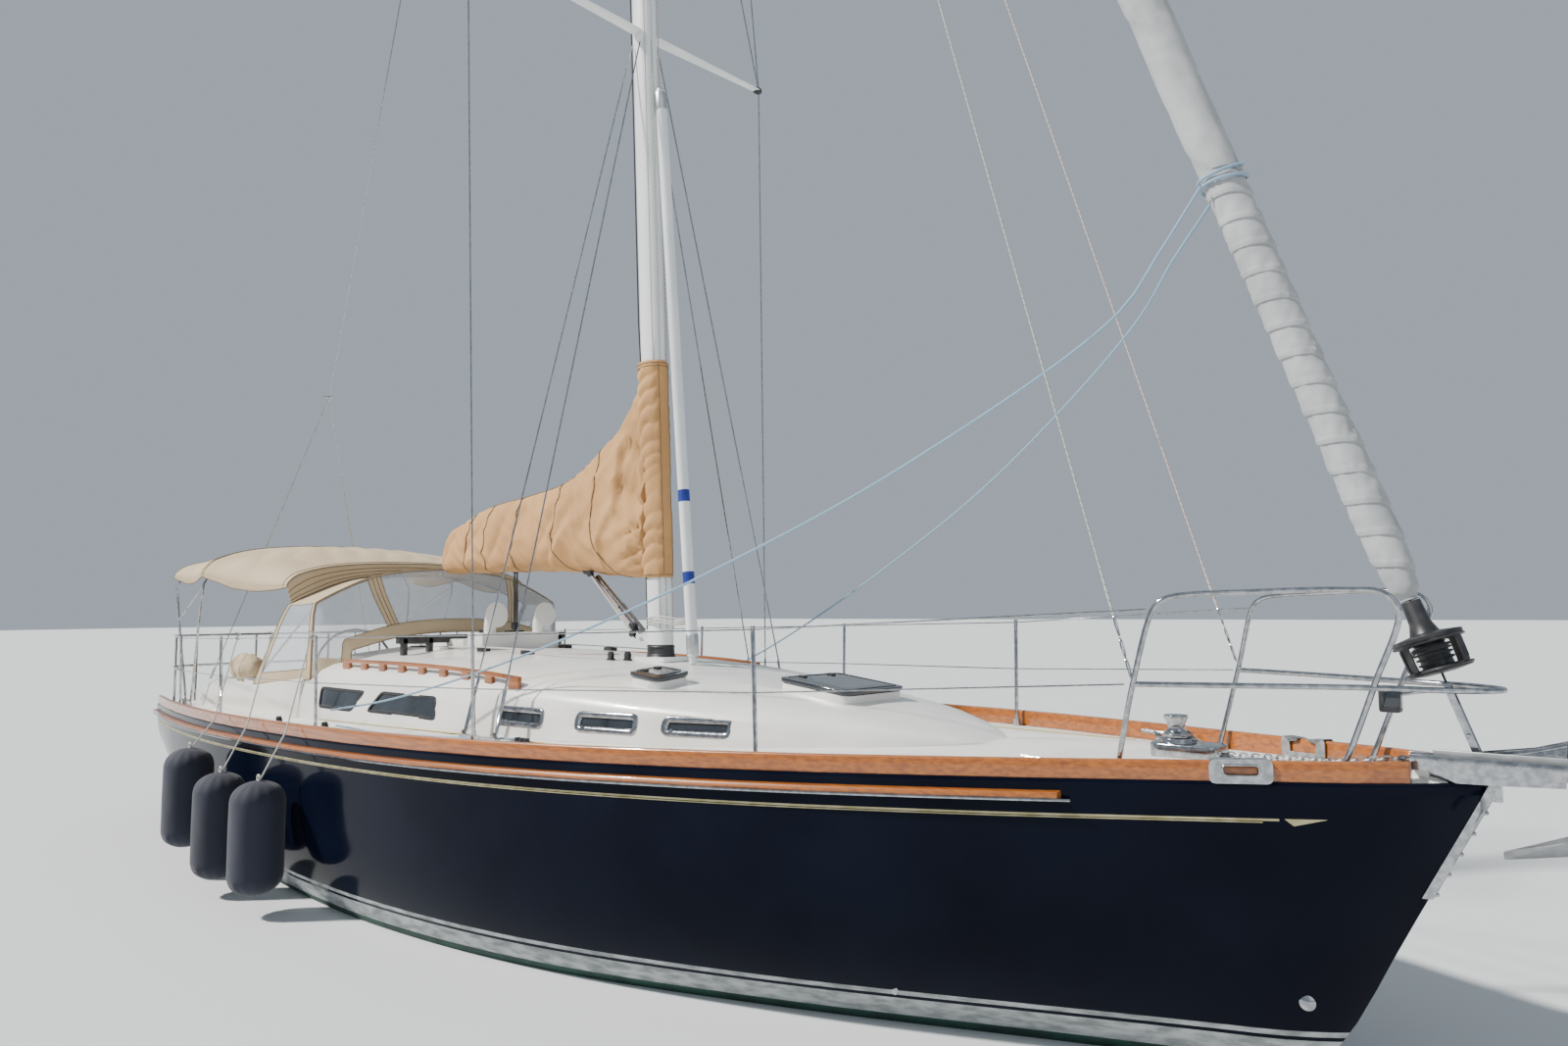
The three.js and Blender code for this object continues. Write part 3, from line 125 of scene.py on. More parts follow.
# %% Value and Finish
class Value:
    """A shader socket that Python's operators can add, scale and compare."""

    def __init__(self, finish, socket):
        self.finish = finish
        self.socket = socket

    def math(self, operation, *others):
        inputs = dict(enumerate((self, *others)))
        return self.finish.node("ShaderNodeMath", {"operation": operation}, inputs)

    def __add__(self, other):
        return self.math("ADD", other)

    def __sub__(self, other):
        return self.math("SUBTRACT", other)

    def __mul__(self, other):
        return self.math("MULTIPLY", other)

    def __gt__(self, other):
        return self.math("GREATER_THAN", other)

    def wrap(self, period):
        return self.math("PINGPONG", period)

    def soft(self, low, high):
        """0 below low, 1 above high, smooth between."""
        settings = {"interpolation_type": "SMOOTHSTEP"}
        return self.finish.node(
            "ShaderNodeMapRange", settings, {"Value": self, "From Min": low, "From Max": high}
        )


class Finish:
    """One material: a Principled shader, the nodes that feed it and the slot it belongs to."""

    # Slots that also hold finishes with other names than their own.
    SHARED_SLOTS = {
        "white_gelcoat": ("deck_gelcoat",),
        "white_paint": ("gold_leaf", "blue_tape"),
        "canvas": (
            "awning_canvas", "brown_thread", "yellow_webbing", "light_blue_rope", "white_rope",
            "red_fleck_rope", "green_fleck_rope", "dark_rope",
        ),
    }

    def __init__(self, name, colour, roughness, metallic=0.0, **fixed):
        shared = [slot for slot, names in self.SHARED_SLOTS.items() if name in names]
        self.slot = shared[0] if shared else name
        self.material = bpy.data.materials.new(name)
        self.material.use_nodes = True
        self.tree = self.material.node_tree
        self.shader = self.tree.nodes["Principled BSDF"]
        self.feed("Base Color", colour)
        self.feed("Roughness", roughness)
        self.feed("Metallic", metallic)
        for socket, value in fixed.items():
            self.feed(socket.replace("_", " "), value)

    def plug(self, socket, value):
        if isinstance(value, Value):
            self.tree.links.new(value.socket, socket)
        elif isinstance(value, tuple) and len(value) == 3 and socket.type == "RGBA":
            socket.default_value = (*value, 1.0)
        else:
            socket.default_value = value

    def feed(self, name, value):
        self.plug(self.shader.inputs[name], value)

    def node(self, kind, settings=None, inputs=None, out=0):
        made = self.tree.nodes.new(kind)
        for name, value in (settings or {}).items():
            setattr(made, name, value)
        for name, value in (inputs or {}).items():
            self.plug(made.inputs[name], value)
        return Value(self, made.outputs[out])

    def place(self, stretch=(1, 1, 1)):
        """Object coordinates in metres, scaled along each axis."""
        here = self.node("ShaderNodeTexCoord", out="Object")
        return self.node("ShaderNodeMapping", None, {"Vector": here, "Scale": stretch})

    def along(self, axis):
        return self.node("ShaderNodeSeparateXYZ", None, {0: self.place()}, out="XYZ".index(axis))

    def on_cloth(self, axis):
        """The piece's own UV map: metres along it, and the share of a turn round it."""
        here = self.node("ShaderNodeTexCoord", out="UV")
        return self.node("ShaderNodeSeparateXYZ", None, {0: here}, out="XYZ".index(axis))

    def noise(self, scale, detail=3.0, stretch=(1, 1, 1)):
        inputs = {"Vector": self.place(stretch), "Scale": scale, "Detail": detail}
        return self.node("ShaderNodeTexNoise", None, inputs)

    def mix(self, share, first, second):
        inputs = {0: share, 6: first, 7: second}
        return self.node("ShaderNodeMix", {"data_type": "RGBA"}, inputs, out=2)

    def bump(self, height, distance):
        inputs = {"Height": height, "Distance": distance, "Strength": 1.0}
        self.feed("Normal", self.node("ShaderNodeBump", None, inputs))


# %% [markdown]
# ## Gelcoat, varnish and metal
# Polished gelcoat isn't one colour: it is a little chalky in patches and has a faint ripple.
# Varnished teak shows long grain under a clear coat. Each finish gets those at real scale.


# %% Hard finishes
def mottled(finish, light, dark, scale, stretch=(1, 1, 1)):
    patches = finish.noise(scale, 4.0, stretch).soft(0.3, 0.7)
    finish.feed("Base Color", finish.mix(patches, light, dark))
    return patches


GELCOAT_RIPPLE = 0.0004


def gelcoat(name, light, dark, roughness):
    finish = Finish(name, light, roughness, Coat_Weight=0.35, Coat_Roughness=0.06)
    mottled(finish, light, dark, 1.7)
    finish.feed("Roughness", finish.noise(5.0) * 0.12 + roughness - 0.06)
    finish.bump(finish.noise(26.0, 2.0), GELCOAT_RIPPLE)
    return finish


def metal(name, light, dark, roughness, grain=(1, 1, 1), scale=30.0):
    finish = Finish(name, light, roughness, 1.0)
    mottled(finish, light, dark, scale, grain)
    finish.feed("Roughness", finish.noise(scale * 1.5, 3.0, grain) * 0.2 + roughness - 0.1)
    finish.bump(finish.noise(scale * 4, 2.0, grain), 0.0002)
    return finish


def varnished(name, light, dark, stretch):
    finish = Finish(name, light, 0.3, Coat_Weight=0.8, Coat_Roughness=0.05)
    figure = finish.noise(1.0, 5.0, stretch).soft(0.25, 0.75)
    pores = finish.noise(9.0, 2.0, stretch)
    grain = figure * 0.7 + pores * 0.3
    finish.feed("Base Color", finish.mix(grain, light, dark))
    finish.feed("Roughness", figure * 0.15 + 0.25)
    finish.bump(pores, 0.0003)
    return finish


navy = Finish("navy_gelcoat", (0.006, 0.008, 0.018), 0.1, Specular_IOR_Level=0.15, IOR=1.3)
mottled(navy, (0.002, 0.003, 0.009), (0.004, 0.006, 0.015), 1.3)
navy.feed("Roughness", navy.noise(3.0) * 0.1 + 0.05)
navy.bump(navy.noise(4.0, 2.0), 0.0006)

white = gelcoat("white_gelcoat", (0.83, 0.82, 0.78), (0.74, 0.735, 0.7), 0.3)
painted = gelcoat("white_paint", (0.82, 0.83, 0.83), (0.72, 0.74, 0.75), 0.35)

deck_finish = Finish("deck_gelcoat", (0.78, 0.77, 0.72), 0.55)
mottled(deck_finish, (0.8, 0.79, 0.74), (0.7, 0.69, 0.65), 2.5)
grit_inputs = {"Vector": deck_finish.place(), "Scale": 260.0}
grit = deck_finish.node("ShaderNodeTexVoronoi", None, grit_inputs)
deck_finish.bump(grit, 0.0012)

GRAIN_ALONG_X = (2.2, 60.0, 60.0)
teak = varnished("teak", (0.46, 0.14, 0.018), (0.17, 0.043, 0.008), GRAIN_ALONG_X)
stainless = metal("stainless", (0.5, 0.51, 0.53), (0.3, 0.31, 0.33), 0.14)
galvanised = metal("galvanised", (0.42, 0.43, 0.44), (0.3, 0.31, 0.32), 0.5, scale=14.0)
alloy = metal("bare_alloy", (0.62, 0.63, 0.64), (0.48, 0.49, 0.5), 0.38, (4, 40, 40), 4.0)
bronze = metal("bronze", (0.45, 0.29, 0.1), (0.3, 0.2, 0.08), 0.35)
iron = metal("engine_iron", (0.12, 0.16, 0.18), (0.07, 0.1, 0.12), 0.6)

gold = Finish("gold_leaf", (0.44, 0.4, 0.23), 0.4, 0.3)
mottled(gold, (0.46, 0.42, 0.25), (0.3, 0.26, 0.12), 12.0)
silver = Finish("silver_stripe", (0.4, 0.42, 0.43), 0.4, 0.2)
weathering = mottled(silver, (0.42, 0.44, 0.45), (0.2, 0.22, 0.22), 9.0, (1, 1, 3))
silver.feed("Roughness", weathering * 0.3 + 0.35)
bottom = Finish("antifouling", (0.01, 0.05, 0.035), 0.75)
mottled(bottom, (0.012, 0.055, 0.04), (0.006, 0.025, 0.02), 7.0)
bottom.bump(bottom.noise(90.0), 0.0012)

black = Finish("black_plastic", (0.012, 0.012, 0.014), 0.4)
mottled(black, (0.01, 0.01, 0.012), (0.03, 0.03, 0.033), 20.0)
black.bump(black.noise(300.0), 0.0002)
smoked = Finish("smoked_acrylic", (0.012, 0.016, 0.022), 0.06, Coat_Weight=0.5)
smoked.feed("Roughness", smoked.noise(20.0) * 0.1 + 0.02)
mottled(smoked, (0.012, 0.016, 0.022), (0.03, 0.036, 0.045), 3.0)
print("hard finishes made")

# %% [markdown]
# ## Cloth and rope
# Acrylic canvas has a plain weave of threads under a millimetre wide. Crossing two sine ridges
# gives that weave without any picture. A braided rope's pattern has to follow the rope, so it
# reads the rope's UV map, which holds the distance along it and the turn around it. The rope's
# colour is darker in the grooves between its strands: that is painted shade.


# %% Soft finishes
def cloth(name, light, dark, thread=0.0011, sheen=0.25, fade=1.6):
    finish = Finish(name, light, 0.85, Sheen_Weight=sheen, Sheen_Roughness=0.5)
    faded = finish.noise(fade, 4.0).soft(0.3, 0.7)
    threads = [finish.along(axis).wrap(thread) * (1 / thread) for axis in "XYZ"]
    weave = threads[0] * threads[2] + threads[1] * 0.4
    tone = faded * 0.8 + finish.noise(160.0, 2.0) * 0.25
    finish.feed("Base Color", finish.mix(tone, light, dark))
    finish.feed("Roughness", weave * 0.15 + 0.75)
    finish.bump(weave + finish.noise(60.0) * 0.6, 0.0006)
    return finish


ROPE_DIAMETER = 0.012


def rope(name, light, dark, fleck=None):
    finish = Finish(name, light, 0.8, Sheen_Weight=0.2)
    strand = ROPE_DIAMETER * 0.8
    turn = finish.on_cloth("Y") * 8.0
    way = finish.on_cloth("X") * (1 / strand)
    crossing = (way + turn).wrap(0.5) * 2.0
    returning = (way - turn).wrap(0.5) * 2.0
    braid_relief_and_shade = crossing.math("MAXIMUM", returning)
    # Painted shade: the colour turns to the dark tone where the braid is low, in the grooves
    # between strands.
    colour = finish.mix(braid_relief_and_shade, dark, light)
    if fleck:
        colour = finish.mix((way * 0.25 + turn * 0.125).wrap(0.5) > 0.44, colour, fleck)
    finish.feed("Base Color", colour)
    finish.bump(braid_relief_and_shade, ROPE_DIAMETER * 0.06)
    return finish


canvas = cloth("canvas", (0.62, 0.335, 0.125), (0.46, 0.24, 0.085), sheen=0.06)
awning_cloth = cloth("awning_canvas", (0.6, 0.47, 0.3), (0.48, 0.37, 0.23), sheen=0.08)
sailcloth = cloth("sailcloth", (0.46, 0.47, 0.48), (0.33, 0.34, 0.35), sheen=0.1, fade=5.0)
fleece = cloth("fender_cover", (0.012, 0.015, 0.034), (0.006, 0.008, 0.018), 0.003, 0.15)
blue_rope = rope("light_blue_rope", (0.28, 0.42, 0.55), (0.16, 0.27, 0.38))
white_rope = rope("white_rope", (0.62, 0.6, 0.56), (0.38, 0.37, 0.34))
red_rope = rope("red_fleck_rope", (0.6, 0.56, 0.54), (0.4, 0.34, 0.33), fleck=(0.4, 0.03, 0.03))
green_rope = rope("green_fleck_rope", (0.5, 0.54, 0.5), (0.3, 0.34, 0.3), fleck=(0.03, 0.2, 0.1))
dark_rope = rope("dark_rope", (0.03, 0.032, 0.036), (0.012, 0.013, 0.016))
thread = Finish("brown_thread", (0.16, 0.1, 0.055), 0.85)
mottled(thread, (0.2, 0.13, 0.07), (0.1, 0.06, 0.035), 60.0)
print("soft finishes made")

# %% [markdown]
# ## Small tools for meshes
# A Form gathers points and faces for one piece. Most of the yacht is made of rings of points
# joined by skins, so the same few methods serve a hull, a rope and a rail.

# %% Mesh tools
CREASE = math.radians(38)
ROUNDED_CREASE = 0.9
CLOTH_CREASE = 1.2
CANVAS_WALL = 0.003


def curve_through(points, step):
    """Points every step metres or so along a smooth line through the given ones."""
    points = [Vector(p) for p in points]
    ends = [points[0] * 2 - points[1], *points, points[-1] * 2 - points[-2]]
    line = []
    for a, b, c, d in zip(ends, ends[1:], ends[2:], ends[3:]):
        k, m, n = ((q - p).length ** 0.5 for p, q in ((a, b), (b, c), (c, d)))
        leave = c - b + ((b - a) / k - (c - a) / (k + m)) * m
        arrive = c - b + ((d - c) / n - (d - b) / (m + n)) * m
        count = max(1, round((c - b).length / step))
        for i in range(count):
            t = i / count
            bend = leave * (t**3 - 2 * t**2 + t) + arrive * (t**3 - t**2)
            line.append(b.lerp(c, 3 * t**2 - 2 * t**3) + bend)
    return [*line, points[-1]]


def blended(table, x, key):
    """A smooth curve through one column of a table of rows sorted by x."""
    rows = sorted(table, key=lambda row: row["x"])
    last = len(rows) - 1
    k = max(i for i in range(last) if i == 0 or rows[i]["x"] <= x)

    def slope(i):
        before, after = rows[max(i - 1, 0)], rows[min(i + 1, last)]
        return (after[key] - before[key]) / (after["x"] - before["x"])

    span = rows[k + 1]["x"] - rows[k]["x"]
    t = min(max((x - rows[k]["x"]) / span, 0), 1)
    a, b = rows[k][key], rows[k + 1][key]
    da, db = slope(k) * span, slope(k + 1) * span
    return a + t * (da + t * (3 * (b - a) - 2 * da - db + t * (2 * (a - b) + da + db)))


def spread(low, high, count):
    return [low + (high - low) * i / (count - 1) for i in range(count)]


def circle(count):
    """The angles of points shared evenly round a full turn."""
    return spread(0, 2 * math.pi, count + 1)[:-1]


def mirrored(points):
    """The points in reverse order, on the other side of the yacht."""
    return [Vector((p.x, -p.y, p.z)) for p in reversed(points)]


def line_length(line):
    return sum((b - a).length for a, b in zip(line, line[1:]))


def spans(grid):
    """The longest column and the longest row of a grid, and its area."""
    length = max(line_length(column) for column in zip(*grid))
    width = max(line_length(row) for row in grid)
    area = 0.0
    for upper, lower in zip(grid, grid[1:]):
        for a, b, c, d in zip(upper, upper[1:], lower[1:], lower):
            area += ((b - a).cross(c - a).length + (c - a).cross(d - a).length) / 2
    return length, width, area


class Form:
    """Gathers the points, faces and UV places of one piece."""

    def __init__(self):
        self.points = []
        self.faces = []
        self.places = []
        self.marks = []

    def face(self, corners, places=None, mark=0):
        self.faces.append(tuple(corners))
        self.places.append(places or [(0, 0)] * len(corners))
        self.marks.append(mark)

    def skin(self, rings, around=True, ends=True, mark=0, loop=False):
        """Joins rings of points with faces, as a pipe or as an open sheet."""
        first, count = len(self.points), len(rings[0])
        middles = [sum(map(Vector, ring), Vector()) / count for ring in rings]
        way = [0.0]
        for before, after in zip(middles, middles[1:]):
            way.append(way[-1] + (after - before).length)
        for ring in rings:
            self.points.extend(ring)
        for r in range(len(rings) - (0 if loop else 1)):
            s = (r + 1) % len(rings)
            for i in range(count if around else count - 1):
                j = (i + 1) % count
                corners = [first + r * count + i, first + r * count + j]
                corners += [first + s * count + j, first + s * count + i]
                low, high = i / count, (i + 1) / count
                places = [(way[r], low), (way[r], high), (way[s], high), (way[s], low)]
                self.face(corners, places, mark)
        if ends and around and not loop:
            self.face(range(first, first + count), mark=mark)
            self.face(range(len(self.points) - count, len(self.points)), mark=mark)
        return self

    def tube(self, path, radius, sides=10, mark=0, loop=False):
        """A round bar along a path. Its radius is one number, or one for each point."""
        path = [Vector(p) for p in path]
        radii = radius if isinstance(radius, (list, tuple)) else [radius] * len(path)
        tangents = []
        for i in range(len(path)):
            before = path[i - 1] if loop or i else path[0]
            after = path[(i + 1) % len(path)] if loop or i + 1 < len(path) else path[-1]
            tangents.append((after - before).normalized())
        normal = tangents[0].orthogonal().normalized()
        rings = []
        for point, tangent, size in zip(path, tangents, radii):
            normal = (normal - tangent * normal.dot(tangent)).normalized()
            side = tangent.cross(normal)
            rings.append([
                point + normal * (size * math.cos(a)) + side * (size * math.sin(a))
                for a in circle(sides)
            ])
        return self.skin(rings, mark=mark, loop=loop)

    def block(self, low, high):
        (x0, y0, z0), (x1, y1, z1) = low, high
        ring = [(x0, y0), (x1, y0), (x1, y1), (x0, y1)]
        return self.skin([[Vector((x, y, z)) for x, y in ring] for z in (z0, z1)])

    def lathe(self, profile, centre, axis=(0, 0, 1), sides=24):
        """A turned piece: each row of profile is a radius and how far along the axis it lies."""
        turn = Vector((0, 0, 1)).rotation_difference(Vector(axis)).to_matrix()
        rings = [
            [Vector(centre) + turn @ Vector((r * math.cos(a), r * math.sin(a), h))
             for a in circle(sides)]
            for r, h in profile
        ]
        return self.skin(rings)

    def make(self, name, finishes, body=HULL_BODY, soften=0.0, crease=CREASE, replaces=()):
        """Turns the points and faces into a finished piece that rides on a body, if one is given.
        """
        mesh = bpy.data.meshes.new(name)
        mesh.from_pydata([tuple(p) for p in self.points], [], self.faces)
        layer = mesh.uv_layers.new(name="places")
        flat = [place for places in self.places for place in places]
        for loop, place in zip(layer.data, flat):
            loop.uv = place
        mesh.polygons.foreach_set("material_index", self.marks)
        shape = added(name, mesh)
        tidy(shape, soften, crease)
        return dress(shape, finishes, body, replaces=replaces)


def tidy(shape, soften=0.0, crease=CREASE, merge=1e-5, flat=0.0):
    """Merges doubles, turns faces outwards, rounds sharp edges and sets smooth shading."""
    mesh = shape.data
    body = bmesh.new()
    body.from_mesh(mesh)
    bmesh.ops.remove_doubles(body, verts=body.verts, dist=merge)
    if flat:
        bmesh.ops.dissolve_limit(
            body, angle_limit=flat, verts=body.verts, edges=body.edges, delimit={"MATERIAL"}
        )
    else:
        bmesh.ops.recalc_face_normals(body, faces=body.faces)
    if soften:
        sharp = [e for e in body.edges if e.is_manifold and e.calc_face_angle(0) > crease]
        bmesh.ops.bevel(
            body, geom=sharp, offset=soften, segments=2, profile=0.6, affect="EDGES",
            clamp_overlap=True,
        )
    body.to_mesh(mesh)
    body.free()
    for polygon in mesh.polygons:
        polygon.use_smooth = True
    mesh.set_sharp_from_angle(angle=crease)
    mesh.update()


def dress(shape, finishes, body, slot=None, replaces=()):
    """Gives a shape its finishes and its body, and hides the nodes that it stands for. slot is not
    used.
    """
    finishes = finishes if isinstance(finishes, list) else [finishes]
    marks = [min(polygon.material_index, len(finishes) - 1) for polygon in shape.data.polygons]
    shape.data.materials.clear()
    for finish in finishes:
        shape.data.materials.append(finish.material)
    shape.data.polygons.foreach_set("material_index", marks)
    if body:
        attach(shape, body)
    slot or finishes[0].slot
    if replaces:
        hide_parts(*replaces)
    return shape


def refined(node, finish, soften, slot=None):
    """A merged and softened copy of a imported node, standing for it on the same body."""
    source = NODES[node]
    shape = added(f"{node}_fine", source.data.copy())
    tidy(shape, soften, merge=2e-5, flat=math.radians(0.4))
    shape.data.polygons.foreach_set("material_index", [0] * len(shape.data.polygons))
    return dress(shape, finish, source["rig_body"], slot, [node])


def thicken(shape, wall, offset):
    """Gives a sheet its wall: offset is -1 to grow it inwards and 0 to both sides."""
    thick = shape.modifiers.new("wall", "SOLIDIFY")
    thick.thickness = wall
    thick.offset = offset


def stretched_sheet(name, grid, finishes, body=HULL_BODY, mark=None, wall=CANVAS_WALL, offset=0,
                    digits=2, replaces=(), **facts):
    """A grid of points as cloth pulled tight. mark gives each face's finish from its place."""
    form = Form()
    columns = len(grid[0])
    for row in grid:
        form.points.extend(row)
    for r in range(len(grid) - 1):
        for c in range(columns - 1):
            low = r * columns + c
            corners = [low, low + 1, low + columns + 1, low + columns]
            form.face(corners, mark=mark(r, c) if mark else 0)
    shape = form.make(name, finishes, body, crease=CLOTH_CREASE, replaces=replaces)
    thicken(shape, wall, offset)
    length, width, area = spans(grid)
    print(name, round(width, 2), "by", round(length, 2), "m, area", round(area, digits))


# %% [markdown]
# ## Feeling for the surfaces
# Fittings have to sit on the surface that carries them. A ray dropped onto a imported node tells
# its height at any point of the plan, and a ray from the side tells how far out its wall is.


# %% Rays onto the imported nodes
def tree_of(node):
    mesh = NODES[node].data
    return BVHTree.FromPolygons(
        [v.co for v in mesh.vertices], [tuple(p.vertices) for p in mesh.polygons]
    )


TREES = {name: tree_of(name) for name in ("deck", "coachroof")}


def top_of(node, x, y):
    hit = TREES[node].ray_cast(Vector((x, y, 6.0)), Vector((0, 0, -1)))
    return hit[0].z


def wall_of(node, x, z, side):
    hit = TREES[node].ray_cast(Vector((x, side * 4.0, z)), Vector((0, -side, 0)))
    return hit[0]


SIDES = {"starboard": -1, "port": 1}
print("roof height at the mast", round(top_of("coachroof", 1.1, 0), 3))

# %% [markdown]
# ## The stage
# The yacht is afloat, so the plain floor lies at its waterline and hides the keel from above.

# %% Floor, world and lights
FLOOR_REACH = 160
SKY_COLOUR, SKY_STRENGTH = (0.56, 0.64, 0.72, 1), 0.68

floor_mesh = bpy.data.meshes.new("floor")
floor_mesh.from_pydata(
    [(x * FLOOR_REACH, y * FLOOR_REACH, 0) for x, y in ((-1, -1), (1, -1), (1, 1), (-1, 1))],
    [], [(0, 1, 2, 3)],
)
floor = added("floor", floor_mesh)
pale = Finish("pale_floor", (0.62, 0.64, 0.65), 0.9)
floor_mesh.materials.append(pale.material)

world = bpy.data.worlds.new("studio")
world.use_nodes = True
sky = world.node_tree.nodes["Background"].inputs
sky["Color"].default_value = SKY_COLOUR
sky["Strength"].default_value = SKY_STRENGTH
scene.world = world


def lamp(name, direction, strength, spread_angle, colour=(1, 1, 1)):
    data = bpy.data.lights.new(name, "SUN")
    data.energy = strength
    data.angle = spread_angle
    data.color = colour
    shape = added(name, data)
    shape.rotation_mode = "QUATERNION"
    shape.rotation_quaternion = Vector(direction).to_track_quat("Z", "Y")


lamp("key", (-0.55, -0.6, 0.8), 6.9, 0.06, (1.0, 0.97, 0.92))
lamp("fill", (0.8, -0.5, 0.5), 0.35, 0.8, (0.9, 0.95, 1.0))

# %% [markdown]
# ## The hull
# A hull is the smoothest thing on a yacht, so facets show at once. The same table that gives the
# solid its sections gives a much finer skin here. It is cut at the height of each painted line,
# so the boot band and the bottom paint are crisp at any size.

# %% Hull skin
HULL_TABLE = [
    dict(x=-5.85, beam=1.405, keel=0.25, bilge=3.2, floor=2.2),
    dict(x=-4.5, beam=1.679, keel=-0.09, bilge=3.6, floor=2.0),
    dict(x=-3.0, beam=1.895, keel=-0.4, bilge=3.8, floor=1.9),
    dict(x=-1.5, beam=1.997, keel=-0.58, bilge=3.9, floor=1.8),
    dict(x=0.0, beam=2.003, keel=-0.64, bilge=3.8, floor=1.8),
    dict(x=1.5, beam=1.849, keel=-0.62, bilge=3.3, floor=1.7),
    dict(x=3.0, beam=1.476, keel=-0.52, bilge=2.6, floor=1.5),
    dict(x=4.2, beam=1.016, keel=-0.38, bilge=2.0, floor=1.35),
    dict(x=5.2, beam=0.554, keel=-0.15, bilge=1.5, floor=1.15),
    dict(x=5.51, beam=0.41, keel=0.16, bilge=1.3, floor=1.1),
    dict(x=5.8, beam=0.271, keel=0.704, bilge=1.15, floor=1.0),
    dict(x=6.12, beam=0.03, keel=1.304, bilge=1.0, floor=1.0),
]
STERN_X, BOW_X = HULL_TABLE[0]["x"], HULL_TABLE[-1]["x"]
SHEER_HEIGHT, SHEER_SLOPE, SHEER_BEND = 1.22, 0.019678, 0.0005019
EDGE_DROP = 0.0305
RIM = 0.02
SKIN = 0.0025
PAINT_FILM = 0.004
RAKE_FROM, RAKE = -4.5, 0.22
BOTTOM_TOP, BAND_TOP, PIN_FOOT, PIN_TOP = 0.055, 0.165, 0.185, 0.212


def sheer(x):
    return SHEER_HEIGHT + SHEER_SLOPE * x + SHEER_BEND * x * x


def beam(x):
    return blended(HULL_TABLE, x, "beam")


def keel_line(x):
    return blended(HULL_TABLE, x, "keel")


def hull_side(x, z):
    """Half-breadth of the hull at a height."""
    edge = sheer(x) - EDGE_DROP
    depth = min(max((edge - z) / (edge - keel_line(x)), 0), 1)
    power = blended(HULL_TABLE, x, "bilge")
    return beam(x) * (1 - depth**power) ** (1 / blended(HULL_TABLE, x, "floor"))


def raked(point):
    share = min(max((RAKE_FROM - point.x) / (RAKE_FROM - STERN_X), 0), 1)
    return point + Vector((share * RAKE * (sheer(point.x) - point.z), 0, 0))


def hull_ring(x):
    """Port half of one section: from the keel, up the side and over the rounded rim."""
    width, edge, foot = beam(x), sheer(x) - EDGE_DROP, keel_line(x)
    bilge, flat = blended(HULL_TABLE, x, "bilge"), blended(HULL_TABLE, x, "floor")
    ring = []
    for turn in spread(0, math.pi / 2, 34):
        y = width * math.sin(turn) ** (2 / flat)
        z = edge - (edge - foot) * math.cos(turn) ** (2 / bilge)
        ring.append(Vector((x, y + SKIN * math.sin(turn), z - SKIN * math.cos(turn))))
    top = sheer(x) + RIM
    ring += [Vector((x, width + SKIN, sheer(x) - 0.004)), Vector((x, width + SKIN, top - 0.006))]
    ring += [Vector((x, width, top)), Vector((x, max(width - 0.012, 0.002), top))]
    return [raked(p) for p in ring]


def hull_skin():
    rings = []
    for t in spread(0, 1, 96):
        port = hull_ring(STERN_X + (BOW_X - STERN_X) * (1 - (1 - t) ** 1.25))
        rings.append(mirrored(port)[:-1] + port)
    skin = Form().skin(rings, around=False)
    last = len(rings[0]) - 1
    for first in (0, len(skin.points) - last - 1):
        for i in range(last // 2):
            corners = dict.fromkeys([i, i + 1, last - i - 1, last - i])
            skin.face([first + k for k in corners])
    return skin


def paint_hull(shape):
    """Cuts the skin at each painted line and gives every band its own finish."""
    body = bmesh.new()
    body.from_mesh(shape.data)
    bmesh.ops.remove_doubles(body, verts=body.verts, dist=4e-4)
    bmesh.ops.recalc_face_normals(body, faces=body.faces)
    for level in (BOTTOM_TOP, BAND_TOP, PIN_FOOT, PIN_TOP):
        every = body.verts[:] + body.edges[:] + body.faces[:]
        bmesh.ops.bisect_plane(body, geom=every, plane_co=(0, 0, level), plane_no=(0, 0, 1))
    for face in body.faces:
        z = face.calc_center_median().z
        in_band = BOTTOM_TOP < z < BAND_TOP or PIN_FOOT < z < PIN_TOP
        face.material_index = 2 if z < BOTTOM_TOP else 1 if in_band else 0
    body.to_mesh(shape.data)
    body.free()


hull_shape = hull_skin().make("hull_skin", [navy, silver, bottom])
paint_hull(hull_shape)
thicken(hull_shape, PAINT_FILM, -1)
dress(NODES["hull"], navy, None)
print("hull faces", len(hull_shape.data.polygons))

# %% [markdown]
# ## Mouldings, spars and fittings
# The other hard pieces already have their true shape, so each is a merged copy. Most mouldings
# are given small rounded edges, because a dead sharp edge never catches the light as theirs does.

# %% Refined copies of the hard pieces
def both(name):
    return [f"{name}_{side}" for side in SIDES]


HARD_PIECES = [
    (deck_finish, 0.002, ["deck"]),
    (white, 0.006, ["coachroof", "companion_hatch"]),
    (white, 0.012, ["cockpit"]),
    (white, 0.004, ["cowl_vents"]),
    (iron, 0.02, ["engine_block"]),
    (smoked, 0.006, ["fore_hatch_lid", "mid_hatch_lid"]),
    (bottom, 0.0, ["keel", "rudder"]),
    (bronze, 0.0, ["propeller"]),
    (bronze, 0.002, ["shaft_bracket"]),
    (teak, 0.003, ["washboard", *both("rub_strake")]),
    (teak, 0.004, both("toe_rail")),
    (teak, 0.005, both("grab_rail")),
    (galvanised, 0.003, ["anchor"]),
    (stainless, 0.004, ["windlass"]),
    (stainless, 0.0015, ["stem_fitting", "windlass_drum", *both("winch_drum")]),
    (stainless, 0.0, ["pushpit", "backstay", "forestay", "boom_vang", "steering_wheel",
                      "awning_frame", *both("lifelines"), *both("shrouds"), *both("bow_cleat"),
                      *both("stern_cleat")]),
    (painted, 0.0, ["mast", "spinnaker_pole", *both("lower_spreader"), *both("upper_spreader")]),
    (painted, 0.008, ["steering_pedestal"]),
    (black, 0.0015, ["furler_drum"]),
    (black, 0.003, ["mainsheet_traveller"]),
    (alloy, 0.0, ["boom"]),
]
